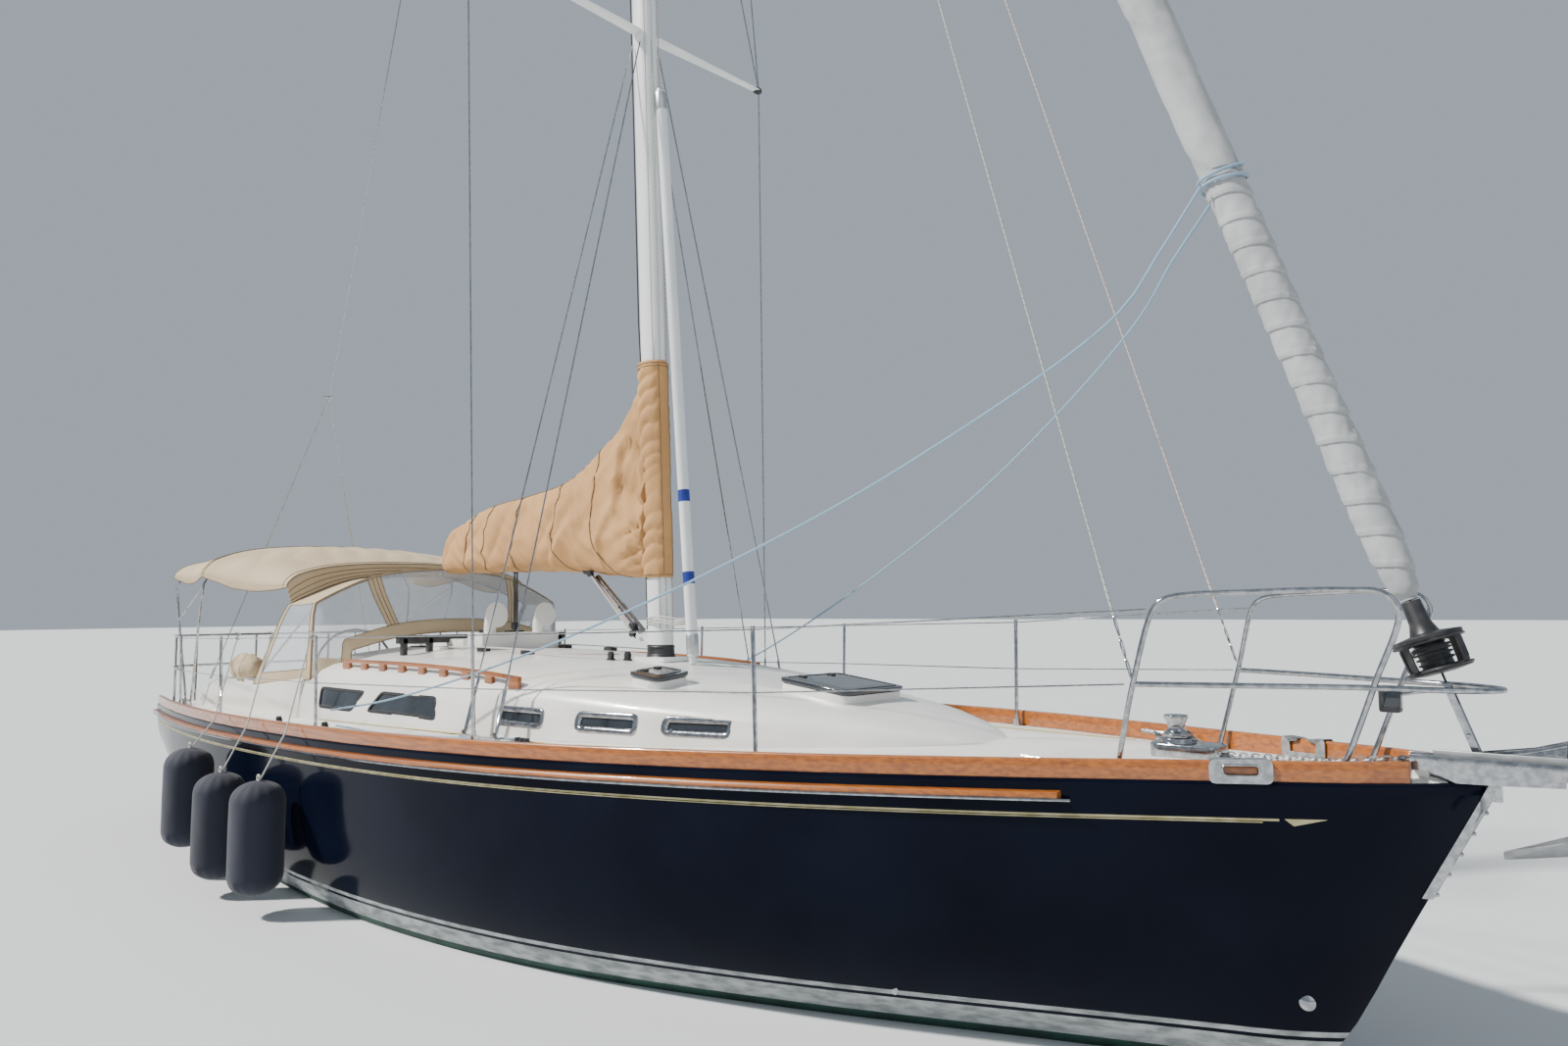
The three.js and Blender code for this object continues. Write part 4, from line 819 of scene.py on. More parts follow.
CAST_SLOTS = {
    "cowl_vents": "grey_plastic", "windlass": "bare_alloy", "windlass_drum": "bare_alloy",
}
for finish, soften, nodes in HARD_PIECES:
    for node in nodes:
        refined(node, finish, soften, CAST_SLOTS.get(node))
print("refined", sum(len(nodes) for finish, soften, nodes in HARD_PIECES), "pieces")

# %% [markdown]
# ## Painted lines and the strake's half-round
# The cove line is thin gold tape along the topsides under the rail: two strips, and a leaf at the
# fore end. It's built from the hull's own curve, so it can't wander off it. The strake carries a
# stainless half-round.


# %% Cove line and half-round
LEAF = (5.44, 5.59)
COVE_START, COVE_TOP, TAPE_FILM = -5.6, 0.139, 0.0012
STRAKE_DROP, STRAKE_OUT = 0.074, 0.037


def on_hull(x, z, side, lift):
    return raked(Vector((x, side * (hull_side(x, z) + SKIN + lift), z)))


def tape(form, side, stations, upper, lower):
    """A strip of tape: upper is its drop below the rail, and lower gives its foot's."""
    rings = []
    for x in stations:
        foot = lower(x)
        corners = [(upper, 0), (upper, TAPE_FILM), (foot, TAPE_FILM), (foot, 0)]
        rings.append([on_hull(x, sheer(x) - drop, side, lift) for drop, lift in corners])
    form.skin(rings)


def leaf_foot(x):
    """The leaf is deepest near its after end and runs out to a point."""
    share = (x - LEAF[0]) / (LEAF[1] - LEAF[0])
    return 0.14 + 0.03 * min(share / 0.2, (1 - share) / 0.8)


for name, side in SIDES.items():
    cove = Form()
    tape(cove, side, spread(COVE_START, 5.42, 130), COVE_TOP, lambda x: 0.149)
    tape(cove, side, spread(COVE_START, 5.36, 130), 0.153, lambda x: 0.158)
    tape(cove, side, spread(*LEAF, 16), COVE_TOP, leaf_foot)
    cove.make(f"cove_line_{name}", gold)
    edge_line = [
        on_hull(x, sheer(x) - STRAKE_DROP, side, STRAKE_OUT) for x in spread(-5.8, 4.65, 90)
    ]
    Form().tube(edge_line, 0.0085, 8).make(f"strake_half_round_{name}", stainless)
print("cove line and half-round on both sides")

# %% [markdown]
# ## Window glass and frames
# The fixed windows are dark acrylic in a thin gasket. The opening ports have broad polished
# frames. Both follow the cabin side, so every point is laid on a line between two feelers.

# %% Windows
FIXED_WINDOWS = [
    [(-2.08, 1.48), (-1.28, 1.48), (-1.45, 1.32), (-2.06, 1.32)],
    [(-1.0, 1.49), (-0.18, 1.49), (-0.14, 1.335), (-1.18, 1.335)],
]
PORTS = [(0.62, 1.08, 1.36, 1.465), (1.38, 1.86, 1.362, 1.467), (2.05, 2.5, 1.372, 1.465)]
WALL_REACH = 0.03
CORNER_STEPS = 6


def rounded(corners, radius):
    """A polygon in a plane with a curve in place of each corner."""
    outline = []
    corners = [Vector(c) for c in corners]
    for i, corner in enumerate(corners):
        before = (corners[i - 1] - corner).normalized() * radius
        after = (corners[(i + 1) % len(corners)] - corner).normalized() * radius
        for t in spread(0, 1, CORNER_STEPS):
            outline.append(corner + before * (1 - t) ** 2 + after * t**2)
    return outline


def rectangle(low_x, high_x, low_z, high_z):
    return [(low_x, high_z), (high_x, high_z), (high_x, low_z), (low_x, low_z)]


def outward(outline):
    """The unit direction away from the middle at each point of an outline."""
    turned = []
    for i in range(len(outline)):
        way = outline[(i + 1) % len(outline)] - outline[i - 1]
        turned.append(Vector((-way.y, way.x)).normalized())
    return turned


def rim(form, outline, place, section):
    """A frame round an outline: each row of section is how far out and how far off."""
    rings = []
    for point, way in zip(outline, outward(outline)):
        rings.append([place(*(point + way * out), lift) for out, lift in section])
    form.skin(rings, loop=True)


def plate(form, outline, place, back, front):
    """A pane: flat in front, with a small round on its edge."""
    middle = sum(outline, Vector((0, 0))) / len(outline)
    steps = ((1, back), (1, front - 0.001), (0.985, front), (0.7, front), (0.35, front))
    rings = [
        [place(*middle.lerp(point, share), lift) for point in outline] for share, lift in steps
    ]
    form.skin(rings)


def on_wall(side, low, high):
    """A way to lay points on the cabin side, between feelers under and over a window."""

    def place(x, z, lift):
        foot = wall_of("coachroof", x, low - WALL_REACH, side)
        head = wall_of("coachroof", x, high + WALL_REACH, side)
        share = (z - low + WALL_REACH) / (high - low + 2 * WALL_REACH)
        return foot.lerp(head, share) + Vector((0, side * lift, 0))

    return place


GASKET = [(-0.012, -0.01), (-0.012, 0.003), (-0.006, 0.005), (0.008, 0.004), (0.01, -0.002)]
PORT_FRAME = [
    (-0.026, -0.014), (-0.024, 0.004), (-0.012, 0.01), (0.004, 0.011), (0.012, 0.007),
    (0.014, -0.002),
]
for name, side in SIDES.items():
    glass, gasket, frames = Form(), Form(), Form()
    for corners in FIXED_WINDOWS:
        place = on_wall(side, corners[2][1], corners[0][1])
        outline = rounded(corners, 0.045)
        plate(glass, outline, place, -0.012, -0.004)
        rim(gasket, outline, place, GASKET)
    for low_x, high_x, low_z, high_z in PORTS:
        place = on_wall(side, low_z, high_z)
        outline = rounded(rectangle(low_x, high_x, low_z, high_z), 0.042)
        plate(glass, outline, place, -0.018, -0.01)
        rim(frames, outline, place, PORT_FRAME)
        latch = rounded(rectangle(low_x + 0.05, low_x + 0.075, low_z - 0.002, low_z + 0.03), 0.006)
        plate(frames, latch, place, -0.008, 0.014)
    glass.make(f"window_glass_{name}", smoked, crease=ROUNDED_CREASE)
    gasket.make(f"window_gasket_{name}", black, crease=ROUNDED_CREASE)
    frames.make(f"port_frames_{name}", stainless, crease=ROUNDED_CREASE)
print("windows", 2 * (len(FIXED_WINDOWS) + len(PORTS)))

# %% [markdown]
# ## Hatch glass
# Each deck hatch is a cast rim round a thick smoked pane. The lids tilt with the cabin top, so a
# pane is laid out on the lid's own axes, which its turn about X and then Y gives.

# %% Hatches
HATCHES = {
    "fore": ("fore_hatch_lid", 0.58, 0.61, 0.0, 0.122),
    "mid": ("mid_hatch_lid", 0.32, 0.29, 0.11, 0.1),
}
LID_HALF = 0.013
LID_RIM = 0.042


def on_lid(node, roll, pitch):
    """A way to lay points on top of a lid that is turned by roll and pitch."""
    low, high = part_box(node)
    turn = Matrix.Rotation(pitch, 3, "Y") @ Matrix.Rotation(roll, 3, "X")
    middle = (low + high) / 2

    def place(x, y, lift):
        return middle + turn @ Vector((x, y, LID_HALF + lift))

    return place


for name, (node, length, width, roll, pitch) in HATCHES.items():
    place = on_lid(node, roll, pitch)
    half_x, half_y = length / 2 - LID_RIM, width / 2 - LID_RIM
    outline = rounded(rectangle(-half_x, half_x, -half_y, half_y), 0.04)
    pane = Form()
    plate(pane, outline, place, -0.004, 0.003)
    pane.make(f"{name}_hatch_glass", smoked, f"{name}_hatch", crease=ROUNDED_CREASE)
    seal = Form()
    rim(seal, outline, place, [(-0.002, -0.002), (-0.002, 0.004), (0.004, 0.004), (0.006, -0.002)])
    for share in (-0.55, 0.55):
        grip = rounded(rectangle(-half_x + 0.01, -half_x + 0.06, share * half_y - 0.02,
                                 share * half_y + 0.02), 0.008)
        plate(seal, grip, place, 0.002, 0.012)
    seal.make(f"{name}_hatch_seal", black, f"{name}_hatch", crease=ROUNDED_CREASE)
print("hatch panes on", list(HATCHES))

# %% [markdown]
# ## The sail cover
# Under the cover lies the lowered mainsail, so the canvas is lumpy and full. Its front is laced
# round the mast, and that pull gathers it into deep folds that fade out along the boom. Cloth
# simulation would have to carry the whole sail inside, so the folds are sculpted by sums here.

# %% Sail cover
COVER_TABLE = [
    dict(x=-2.16, under=2.485, top=2.905, half=0.115),
    dict(x=-1.57, under=2.47, top=3.07, half=0.15),
    dict(x=-0.86, under=2.47, top=3.14, half=0.16),
    dict(x=-0.35, under=2.45, top=3.215, half=0.16),
    dict(x=0.05, under=2.43, top=3.4, half=0.15),
    dict(x=0.43, under=2.39, top=3.66, half=0.125),
    dict(x=0.58, under=2.38, top=3.86, half=0.11),
    dict(x=0.74, under=2.38, top=3.86, half=0.082),
]
COVER_SECTION = [(0, 0), (0.62, 0.03), (0.98, 0.16), (1, 0.34), (0.72, 0.66), (0.3, 0.93), (0, 1)]
COVER_AFT_END, COVER_FRONT, COVER_FORE_END = -2.16, 0.6, 0.74
PLEAT_DEPTH, GATHER_DEPTH, DRAPE_DEPTH, HOLLOW_DEPTH = 0.026, 0.024, 0.03, 0.052
SLACK_DEPTH, CREASE_DEPTH, SAG_DEPTH = 0.026, 0.026, 0.022
COVER_SEAMS = [(-1.75, 0.0), (-1.43, 0.03), (-0.97, 0.06), (-0.4, 0.42), (0.13, 0.42)]


def smooth_at(points, t):
    """A place on the smooth curve through the points: the first at 0 and the last at 1."""
    place = min(max(t, 0), 1) * (len(points) - 1)
    k = min(int(place), len(points) - 2)
    around = (k - 1, k, k + 1, k + 2)
    a, b, c, d = (Vector(points[min(max(i, 0), len(points) - 1)]) for i in around)
    s = place - k
    return 0.5 * (
        2 * b + (c - a) * s + (2 * a - 5 * b + 4 * c - d) * s**2 + (3 * b - a - 3 * c + d) * s**3
    )


def ease(t):
    t = min(max(t, 0), 1)
    return t * t * (3 - 2 * t)


def folds(x, z, side):
    """How far the canvas stands off its plain shape, in metres."""
    near_front = math.exp(-max(COVER_FRONT - x, 0) / 0.26)
    wander = noise.noise(Vector((x * 2.2, side * 3, z * 1.6))) * 2.4
    pleats = abs(math.sin(z * 15 + (COVER_FRONT - x) * 5 + wander)) ** 0.7 - 0.5
    fan = math.atan2(z - 3.95, x - 1.1) * 15 + wander
    drapes = (0.45 - abs(math.sin(fan)) ** 0.6) * math.exp(-abs(x - 0.25) / 0.7)
    slack = noise.noise(Vector((x * 1.7, side * 2, z * 2.4)))
    creases = 1 - abs(noise.noise(Vector(((x - z) * 2.0, side * 5, (x + z) * 6.5)))) * 2
    gathers = abs(math.sin(z * 31 + (COVER_FRONT - x) * 8 + wander * 1.3)) ** 0.7 - 0.5
    gathers *= math.exp(-max(COVER_FRONT - x, 0) / 0.12)
    hollow = ease((x - 0.4) / 0.07) * ease((0.7 - x) / 0.06)
    hollow *= ease((z - 2.88) / 0.12) * ease((3.48 - z) / 0.07)
    sag = (abs(math.sin((x - z * 0.55) * 9 + wander)) - 0.5) * math.exp(-(((z - 2.75) / 0.3) ** 2))
    total = PLEAT_DEPTH * near_front * pleats + DRAPE_DEPTH * drapes
    total += SLACK_DEPTH * slack + CREASE_DEPTH * creases
    total += SAG_DEPTH * sag + GATHER_DEPTH * gathers * (1 - hollow)
    return max(total, -0.018 - 0.25 * max(COVER_FRONT - x, 0)) - HOLLOW_DEPTH * hollow


def ridge_share(turn):
    """0 under the boom and 1 at the ridge, on either side."""
    return turn if turn <= 1 else 2 - turn


def cover_place(x, turn, lift=0.0):
    """turn is 0 under the boom, 1 at the ridge and 2 back under it on the other side."""
    share = ridge_share(turn)
    side = -1 if turn <= 1 else 1
    wide, high = smooth_at([(*row, 0) for row in COVER_SECTION], share)[:2]
    low, top = (blended(COVER_TABLE, x, key) for key in ("under", "top"))
    z = low + high * (top - low)
    fade = math.sin(math.pi * min(max(share, 0), 1)) ** 0.5
    hem = 0.03 * noise.noise(Vector((x * 2.6, side * 4, 1.0))) * (1 - share) ** 4
    proud = folds(x, z, side) * fade
    wide = wide * blended(COVER_TABLE, x, "half")
    return Vector((x, side * (wide + (proud + lift) * (wide > 0.004)), z + hem + lift * share))


def seam_line(x, lean, low, high, count, lift):
    """A seam over the cover: it leans forward towards its foot."""
    return [
        cover_place(x + lean * (1 - ridge_share(turn)) ** 3, turn, lift)
        for turn in spread(low, high, count)
    ]


cover_rings = [
    [cover_place(x, turn) for turn in spread(0, 2, 89)[:-1]]
    for x in spread(COVER_AFT_END, COVER_FORE_END, 200)
]
cover = Form().skin(cover_rings)
cover_shape = cover.make("canvas_sail_cover", canvas, None, crease=CLOTH_CREASE,
                         replaces=["sail_cover"])
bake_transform(cover_shape)

seams = Form()
for seam_x, lean in COVER_SEAMS:
    seams.tube(seam_line(seam_x, lean, 0.02, 1.98, 80, 0.002), 0.0042, 6)
seams.tube([cover_place(x, 1, 0.003) for x in spread(-2.15, 0.25, 80)], 0.004, 6)
seams.make("cover_seams", thread, "boom")
print("cover rings", len(cover_rings), "seams", len(COVER_SEAMS))

# %% [markdown]
# ## The collar round the mast
# The cover's front is laced into a tall collar round the mast. The lacing pulls the canvas into
# short level pleats that fan out from the seam, with a flat flap down the fore side.

# %% Mast collar
MAST_RAKE = 0.045
COLLAR_LOW, COLLAR_HIGH = 2.37, 4.06
MAST_HALF = (0.115, 0.08)


def mast_x(z):
    """Where the raked mast's middle lies at a height."""
    return 0.85 - MAST_RAKE * (z - 1.75)


def collar_place(turn, z, lift=0.0):
    """turn is 0 on the mast's fore side and runs round by starboard."""
    aft = (1 - math.cos(turn)) / 2
    pull = math.sin(math.pi * min(max((z - COLLAR_LOW) / (COLLAR_HIGH - COLLAR_LOW), 0), 1)) ** 0.3
    wander = noise.noise(Vector((math.sin(turn) * 2, z * 2.5, 4.0))) * 2.5
    middle = math.exp(-(((z - 3.1) / 0.3) ** 2))
    pleats = abs(math.sin(z * 26 + wander + aft * 3)) ** 0.7 - 0.4
    pleats = (pleats * (1 - 0.8 * middle) * 0.034 - 0.01 * middle) * pull * aft**0.6
    slack = 0.006 * noise.noise(Vector((math.cos(turn) * 2, z * 7, math.sin(turn) * 2)))
    out = 0.014 + pleats * (0.4 + abs(math.sin(turn))) + slack + lift
    x = mast_x(z) + math.cos(turn) * (MAST_HALF[0] + out + 0.012 * aft)
    return Vector((x, -math.sin(turn) * (MAST_HALF[1] + out), z))


collar = Form().skin([
    [collar_place(turn, z) for turn in circle(48)] for z in spread(COLLAR_LOW, COLLAR_HIGH, 150)
], ends=False)
collar_shape = collar.make("canvas_mast_collar", canvas, crease=CLOTH_CREASE,
                           replaces=["mast_collar"])
thicken(collar_shape, CANVAS_WALL, -1)
trim = Form()
for turn in (-0.5, 0.5):
    trim.tube([collar_place(turn, z, 0.002) for z in spread(2.4, 4.03, 60)], 0.0025, 5)
for z in (COLLAR_LOW + 0.02, COLLAR_HIGH - 0.02, COLLAR_HIGH - 0.045):
    loop = [collar_place(turn, z, 0.002) for turn in circle(32)]
    trim.tube(loop, 0.0025, 5, loop=True)
trim.make("collar_seams", thread)
print("collar from", COLLAR_LOW, "to", COLLAR_HIGH)

# %% [markdown]
# ## The furled headsail
# A furled sail is one long roll. Its turns show as slanting edges, each a doubled hem over the
# turn below. The grid is wound along that spiral, so every edge stays crisp however it twists.

# %% Furled headsail
STAY_FOOT = Vector((6.1, 0, 1.475))
STAY_HEAD = Vector((0.39, 0, 18.225))
STAY_WAY = (STAY_HEAD - STAY_FOOT).normalized()
STAY_SIDE = Vector((0, -1, 0))
STAY_FRONT = STAY_SIDE.cross(STAY_WAY)
ROLL_TABLE = [
    dict(x=0.712, r=0.036), dict(x=0.76, r=0.06), dict(x=1.0, r=0.084), dict(x=1.7, r=0.088),
    dict(x=4.0, r=0.108), dict(x=7.5, r=0.114), dict(x=11.0, r=0.1), dict(x=15.0, r=0.07),
    dict(x=16.7, r=0.04), dict(x=16.9, r=0.034),
]
ROLL_SIDES = 36
ROLL_ROWS = [0, 0.03, 0.08, 0.13, 0.16, 0.19, 0.28, 0.37, 0.46, 0.55, 0.64, 0.73, 0.82, 0.9, 0.97]
CLEW_TURN = 15
CLOSE_PITCH, LONG_PITCH = 0.152, 0.9
ROLL_FOOT, ROLL_HEAD = 0.712, 16.9


def up_the_stay(turns):
    """How far up the stay the roll's edge has climbed after so many turns."""
    close = min(turns, CLEW_TURN) * CLOSE_PITCH
    climb = close + max(turns - CLEW_TURN, 0) * LONG_PITCH
    return min(max(ROLL_FOOT + climb, ROLL_FOOT), ROLL_HEAD)


def on_stay(distance, turn, radius):
    """A place round the forestay, at a distance up it."""
    way = STAY_SIDE * math.cos(turn) + STAY_FRONT * math.sin(turn)
    return STAY_FOOT + STAY_WAY * distance + way * radius


def roll_place(n, u):
    turns = n / ROLL_SIDES + u
    turn = 2 * math.pi * n / ROLL_SIDES
    distance = up_the_stay(turns)
    ends = min(1, (distance - ROLL_FOOT) / 0.06, (ROLL_HEAD - distance) / 0.2)
    hem = 0.0014 if 0.03 < u < 0.17 else 0.0
    step = 0.005 * (1 - u) + hem
    here = Vector((math.cos(turn) * 1.2, math.sin(turn) * 1.2, distance * 13 + turn % 6.28 * 1.5))
    taut = math.sin(math.pi * min(u * 1.05 + 0.1, 1)) ** 0.5
    wrinkle = (1 - abs(noise.noise(here)) * 2.6) * 0.006 * taut
    radius = blended(ROLL_TABLE, distance, "r") - 0.006 + (step + wrinkle) * ends
    return on_stay(distance, turn, radius)


roll = Form()
roll_turns = CLEW_TURN + math.ceil((ROLL_HEAD - ROLL_FOOT - CLEW_TURN * CLOSE_PITCH) / LONG_PITCH)
in_turn = len(ROLL_ROWS)
first_step, last_step = -ROLL_SIDES, ROLL_SIDES * roll_turns
for n in range(first_step, last_step + ROLL_SIDES + 1):
    roll.points.extend(roll_place(n, u) for u in ROLL_ROWS)
for n in range(0, last_step - first_step):
    for m in range(in_turn):
        low, high = n * in_turn + m, (n + 1) * in_turn + m
        if m + 1 < in_turn:
            above, beyond = low + 1, high + 1
        else:
            above, beyond = (n + ROLL_SIDES) * in_turn, (n + 1 + ROLL_SIDES) * in_turn
        roll.face([low, above, beyond, high])
roll.lathe([(0.036, 0.706), (0.036, 0.713)], STAY_FOOT, STAY_WAY, 36)
roll.lathe([(0.034, 16.899), (0.034, 16.905)], STAY_FOOT, STAY_WAY, 36)
roll.make("rolled_headsail", sailcloth, "furler", crease=0.6, replaces=["furled_genoa"])
print("turns in the roll", roll_turns, "faces", len(roll.faces))

# %% [markdown]
# ## Clew, sheets and their turns
# The sail's clew sticks out of the roll as a small stiff triangle. The two sheets are tied to it
# and take two turns round the roll before they lead aft. They're taut, so plain tubes do.

# %% Clew and sheets
CLEW_AT, CLEW_HEIGHT = 2.92, 0.62
patch = []
for t in spread(0, 1, 24):
    distance = CLEW_AT + 0.05 + t * CLEW_HEIGHT
    width = 0.62 * (1 - t) + 0.02
    row = []
    for k in spread(0, 1, 9):
        radius = 0.104 + 0.012 * (1 - k) + 0.004 * math.sin(t * 30 + k * 4)
        row.append(on_stay(distance, math.pi - 0.1 - width * k * 1.6, radius))
    patch.append(row)
stretched_sheet("clew_flap", patch, sailcloth, "furler", wall=0.004, offset=-1, digits=3)

WRAP_RADIUS = 0.0085
turns_form = Form()
wraps = [
    on_stay(CLEW_AT - 0.02 + 0.11 * t + 0.03 * math.sin(t * 14), 2.9 - t * 4 * math.pi, 0.112)
    for t in spread(0, 1, 90)
]
turns_form.tube(wraps, WRAP_RADIUS, 8)
knot_middle = on_stay(CLEW_AT + 0.03, math.pi, 0.14)
knot = [
    knot_middle + Vector((0.03 * math.cos(2 * a), 0.024 * math.sin(3 * a), 0.03 * math.sin(a)))
    for a in circle(48)
]
turns_form.tube(knot, WRAP_RADIUS, 8, loop=True)
turns_form.make("sheet_turns", blue_rope, "furler")

SHEET_LEADS = {
    "starboard": [
        (5.08, -0.12, 4.22), (4.86, -0.16, 3.9), (4.67, -0.22, 3.63), (3.5, -0.55, 2.9),
        (2.29, -0.89, 2.34), (1.09, -1.23, 1.88), (0.26, -1.47, 1.62), (-0.31, -1.63, 1.48),
        (-0.8, -1.78, 1.4),
    ],
    "port": [
        (5.06, 0.08, 4.2), (4.84, 0.1, 3.95), (4.6, 0.2, 3.7), (3.5, 0.55, 2.98),
        (2.29, 0.89, 2.4), (1.09, 1.23, 1.92), (0.26, 1.47, 1.64), (-0.31, 1.63, 1.48),
        (-0.8, 1.78, 1.4),
    ],
}
for name, points in SHEET_LEADS.items():
    line = Form().tube(curve_through(points, 0.1), 0.0075, 8)
    line.make(f"headsail_sheet_{name}", blue_rope)
print("sheets", list(SHEET_LEADS))

# %% [markdown]
# ## The awning
# The awning is one canvas sheet over bent tubes, laced down at its fore edge. Between its
# supports it sags and its free edges scallop. It's a curved grid with a 3 mm wall, sculpted by
# sums, since the real sheet is stretched tight and a simulation would only find this shape.

# %% Awning
AWNING_TABLE = [
    dict(x=-5.6, half=1.37, edge=2.5, crown=2.76), dict(x=-4.6, half=1.43, edge=2.49, crown=2.845),
    dict(x=-3.7, half=1.37, edge=2.4, crown=2.78), dict(x=-2.9, half=1.27, edge=2.35, crown=2.6),
]
ARCH = [(1, 0), (0.985, 0.22), (0.9, 0.52), (0.68, 0.8), (0.36, 0.95), (0, 1)]
HOOPS = (-5.6, -4.6, -2.9)
AWNING_ENDS = (HOOPS[0], HOOPS[-1])


def between_hoops(x):
    """0 on a hoop and 1 half-way to the next."""
    for aft, fore in zip(HOOPS, HOOPS[1:]):
        if aft <= x <= fore:
            return math.sin(math.pi * (x - aft) / (fore - aft))
    return 0.0


def awning_place(x, across, lift=0.0):
    """across runs from -1 on the starboard edge to 1 on the port edge."""
    side = -1 if across < 0 else 1
    wide, high = smooth_at([(*row, 0) for row in ARCH], 1 - abs(across))[:2]
    half, edge, crown = (blended(AWNING_TABLE, x, key) for key in ("half", "edge", "crown"))
    slack = between_hoops(x)
    y = side * wide * half
    z = edge + high * (crown - edge)
    wander = noise.noise(Vector((x * 1.5, y * 0.8, 2.0))) * 2
    ripples = (abs(math.sin(y * 11 + x * 2.5 + wander)) - 0.5) * 0.02 * slack
    scallop = -0.05 * slack * abs(across) ** 6
    pull_in = -0.045 * slack * abs(across) ** 4 * side
    z += ripples * (1 - 0.5 * abs(across)) - 0.02 * slack + scallop + lift
    return Vector((x, y + pull_in, z))


awning_grid = [
    [awning_place(x, v) for v in spread(-1, 1, 121)] for x in spread(*AWNING_ENDS, 110)
]
stretched_sheet("canvas_awning", awning_grid, awning_cloth, replaces=["awning"],
                rests_on=["awning_frame"])

piping = Form()
for x, lift in ((-5.595, 0.002), (-4.6, 0.004), (-4.56, 0.003), (-2.98, 0.003), (-2.905, 0.002)):
    piping.tube([awning_place(x, v, lift) for v in spread(-1, 1, 80)], 0.0045, 6)
for side in (-1, 1):
    for across, lift, radius, sides in ((0.998, 0.0, 0.005, 6), (0.9, 0.003, 0.0022, 5)):
        edge = [awning_place(x, side * across, lift) for x in spread(*AWNING_ENDS, 90)]
        piping.tube(edge, radius, sides)
piping.make("awning_piping", thread)

# %% [markdown]
# ## The spray hood
# A spray hood is canvas with big clear windows, stretched over two hoops. The same grid carries
# both: its lines follow the window borders, and each face is given canvas or clear film.

# %% Spray hood
clear = Finish("clear_film", (0.62, 0.66, 0.7), 0.06, Alpha=0.3)
haze = clear.noise(6.0, 4.0)
clear.feed("Alpha", haze * 0.22 + 0.2)
clear.feed("Roughness", haze * 0.12 + 0.02)
clear.bump(clear.noise(5.0, 3.0), 0.006)

HOOD_TABLE = [
    dict(x=-3.56, shift=0.7, half=1.29, foot=1.44, shoulder=2.225, crown=2.49),
    dict(x=-2.33, shift=0.0, half=1.28, foot=1.53, shoulder=2.24, crown=2.535),
    dict(x=-2.235, shift=0.0, half=1.225, foot=1.6, shoulder=2.09, crown=2.31),
    dict(x=-2.08, shift=0.0, half=1.04, foot=1.65, shoulder=1.8, crown=1.925),
]
HOOD_SIDE = [(1, 0), (0.995, 0.5), (0.985, 0.88), (0.93, 1)]
HOOD_TOP = [(0.6, 0.66), (0.3, 0.92), (0, 1)]
STATIONS = len(HOOD_SIDE) + len(HOOD_TOP) - 1


def hood_line(row):
    """The row's points from its starboard foot over the crown to its port foot."""
    tall, rise = row["shoulder"] - row["foot"], row["crown"] - row["shoulder"]
    line = [(w, row["foot"] + h * tall) for w, h in HOOD_SIDE]
    line += [(w, row["shoulder"] + h * rise) for w, h in HOOD_TOP]
    points = []
    for w, z in line:
        lean = row["shift"] * min(max((z - row["foot"]) / tall, 0), 1)
        points.append(Vector((row["x"] + lean, -w * row["half"], z)))
    return points + mirrored(points[:-1])


HOOD_LINES = [hood_line(row) for row in HOOD_TABLE]


def hood_place(r, p, lift=0.0):
    """r is 0 at the after hoop, 1 at the fore hoop and 3 at the foot. p is 0 to 12 across."""
    aft, fore, middle, foot = (smooth_at(line, p / (2 * STATIONS)) for line in HOOD_LINES)
    if r <= 1:
        point = aft.lerp(fore, r)
        point.z -= 0.018 * math.sin(math.pi * r) * math.sin(math.pi * p / (2 * STATIONS))
        way = Vector((0, point.y * 0.4, 1 if 3 <= p <= 9 else 0)).normalized()
    else:
        point = smooth_at([fore, middle, foot], (r - 1) / 2)
        way = Vector((1, point.y * 0.2, 0.3)).normalized()
    point += way * (0.003 * noise.noise(Vector((p * 1.3, r * 2.5, 3.0))) + lift)
    return point


HOOD_ROWS = [0, 0.02, 0.07, 0.1, *spread(0.16, 0.88, 13), 0.92, 0.95, 0.98, 1.0, 1.02, 1.06, 1.12]
HOOD_ROWS += [*spread(1.2, 2.5, 14), 2.62, 2.7, 2.85, 3.0]
HALF_ACROSS = [0, 0.1, 0.22, 0.35, *spread(0.55, 2.45, 12), 2.6, 2.75, 2.9, 3.05, 3.2]
HALF_ACROSS += [*spread(3.35, 3.85, 5), 3.95, 4.05, 4.15, 4.25, *spread(4.4, 5.85, 12)]
HOOD_ACROSS = HALF_ACROSS + [6.0] + [12 - p for p in reversed(HALF_ACROSS)]


def is_clear(r, p):
    """Whether the hood is clear film at this place."""
    p = min(p, 12 - p)
    if r < 1:
        return 0.1 < r < 0.92 and 0.35 < p < 2.6
    front = 0.5 < p < 3.95 or p > 4.25
    return 1.12 < r < 2.62 and front


hood_grid = [[hood_place(r, p) for p in HOOD_ACROSS] for r in HOOD_ROWS]


def hood_mark(row, column):
    r = (HOOD_ROWS[row] + HOOD_ROWS[row + 1]) / 2
    p = (HOOD_ACROSS[column] + HOOD_ACROSS[column + 1]) / 2
    return 1 if is_clear(r, p) else 0


stretched_sheet("canvas_spray_hood", hood_grid, [awning_cloth, clear], mark=hood_mark,
                replaces=["spray_hood"])

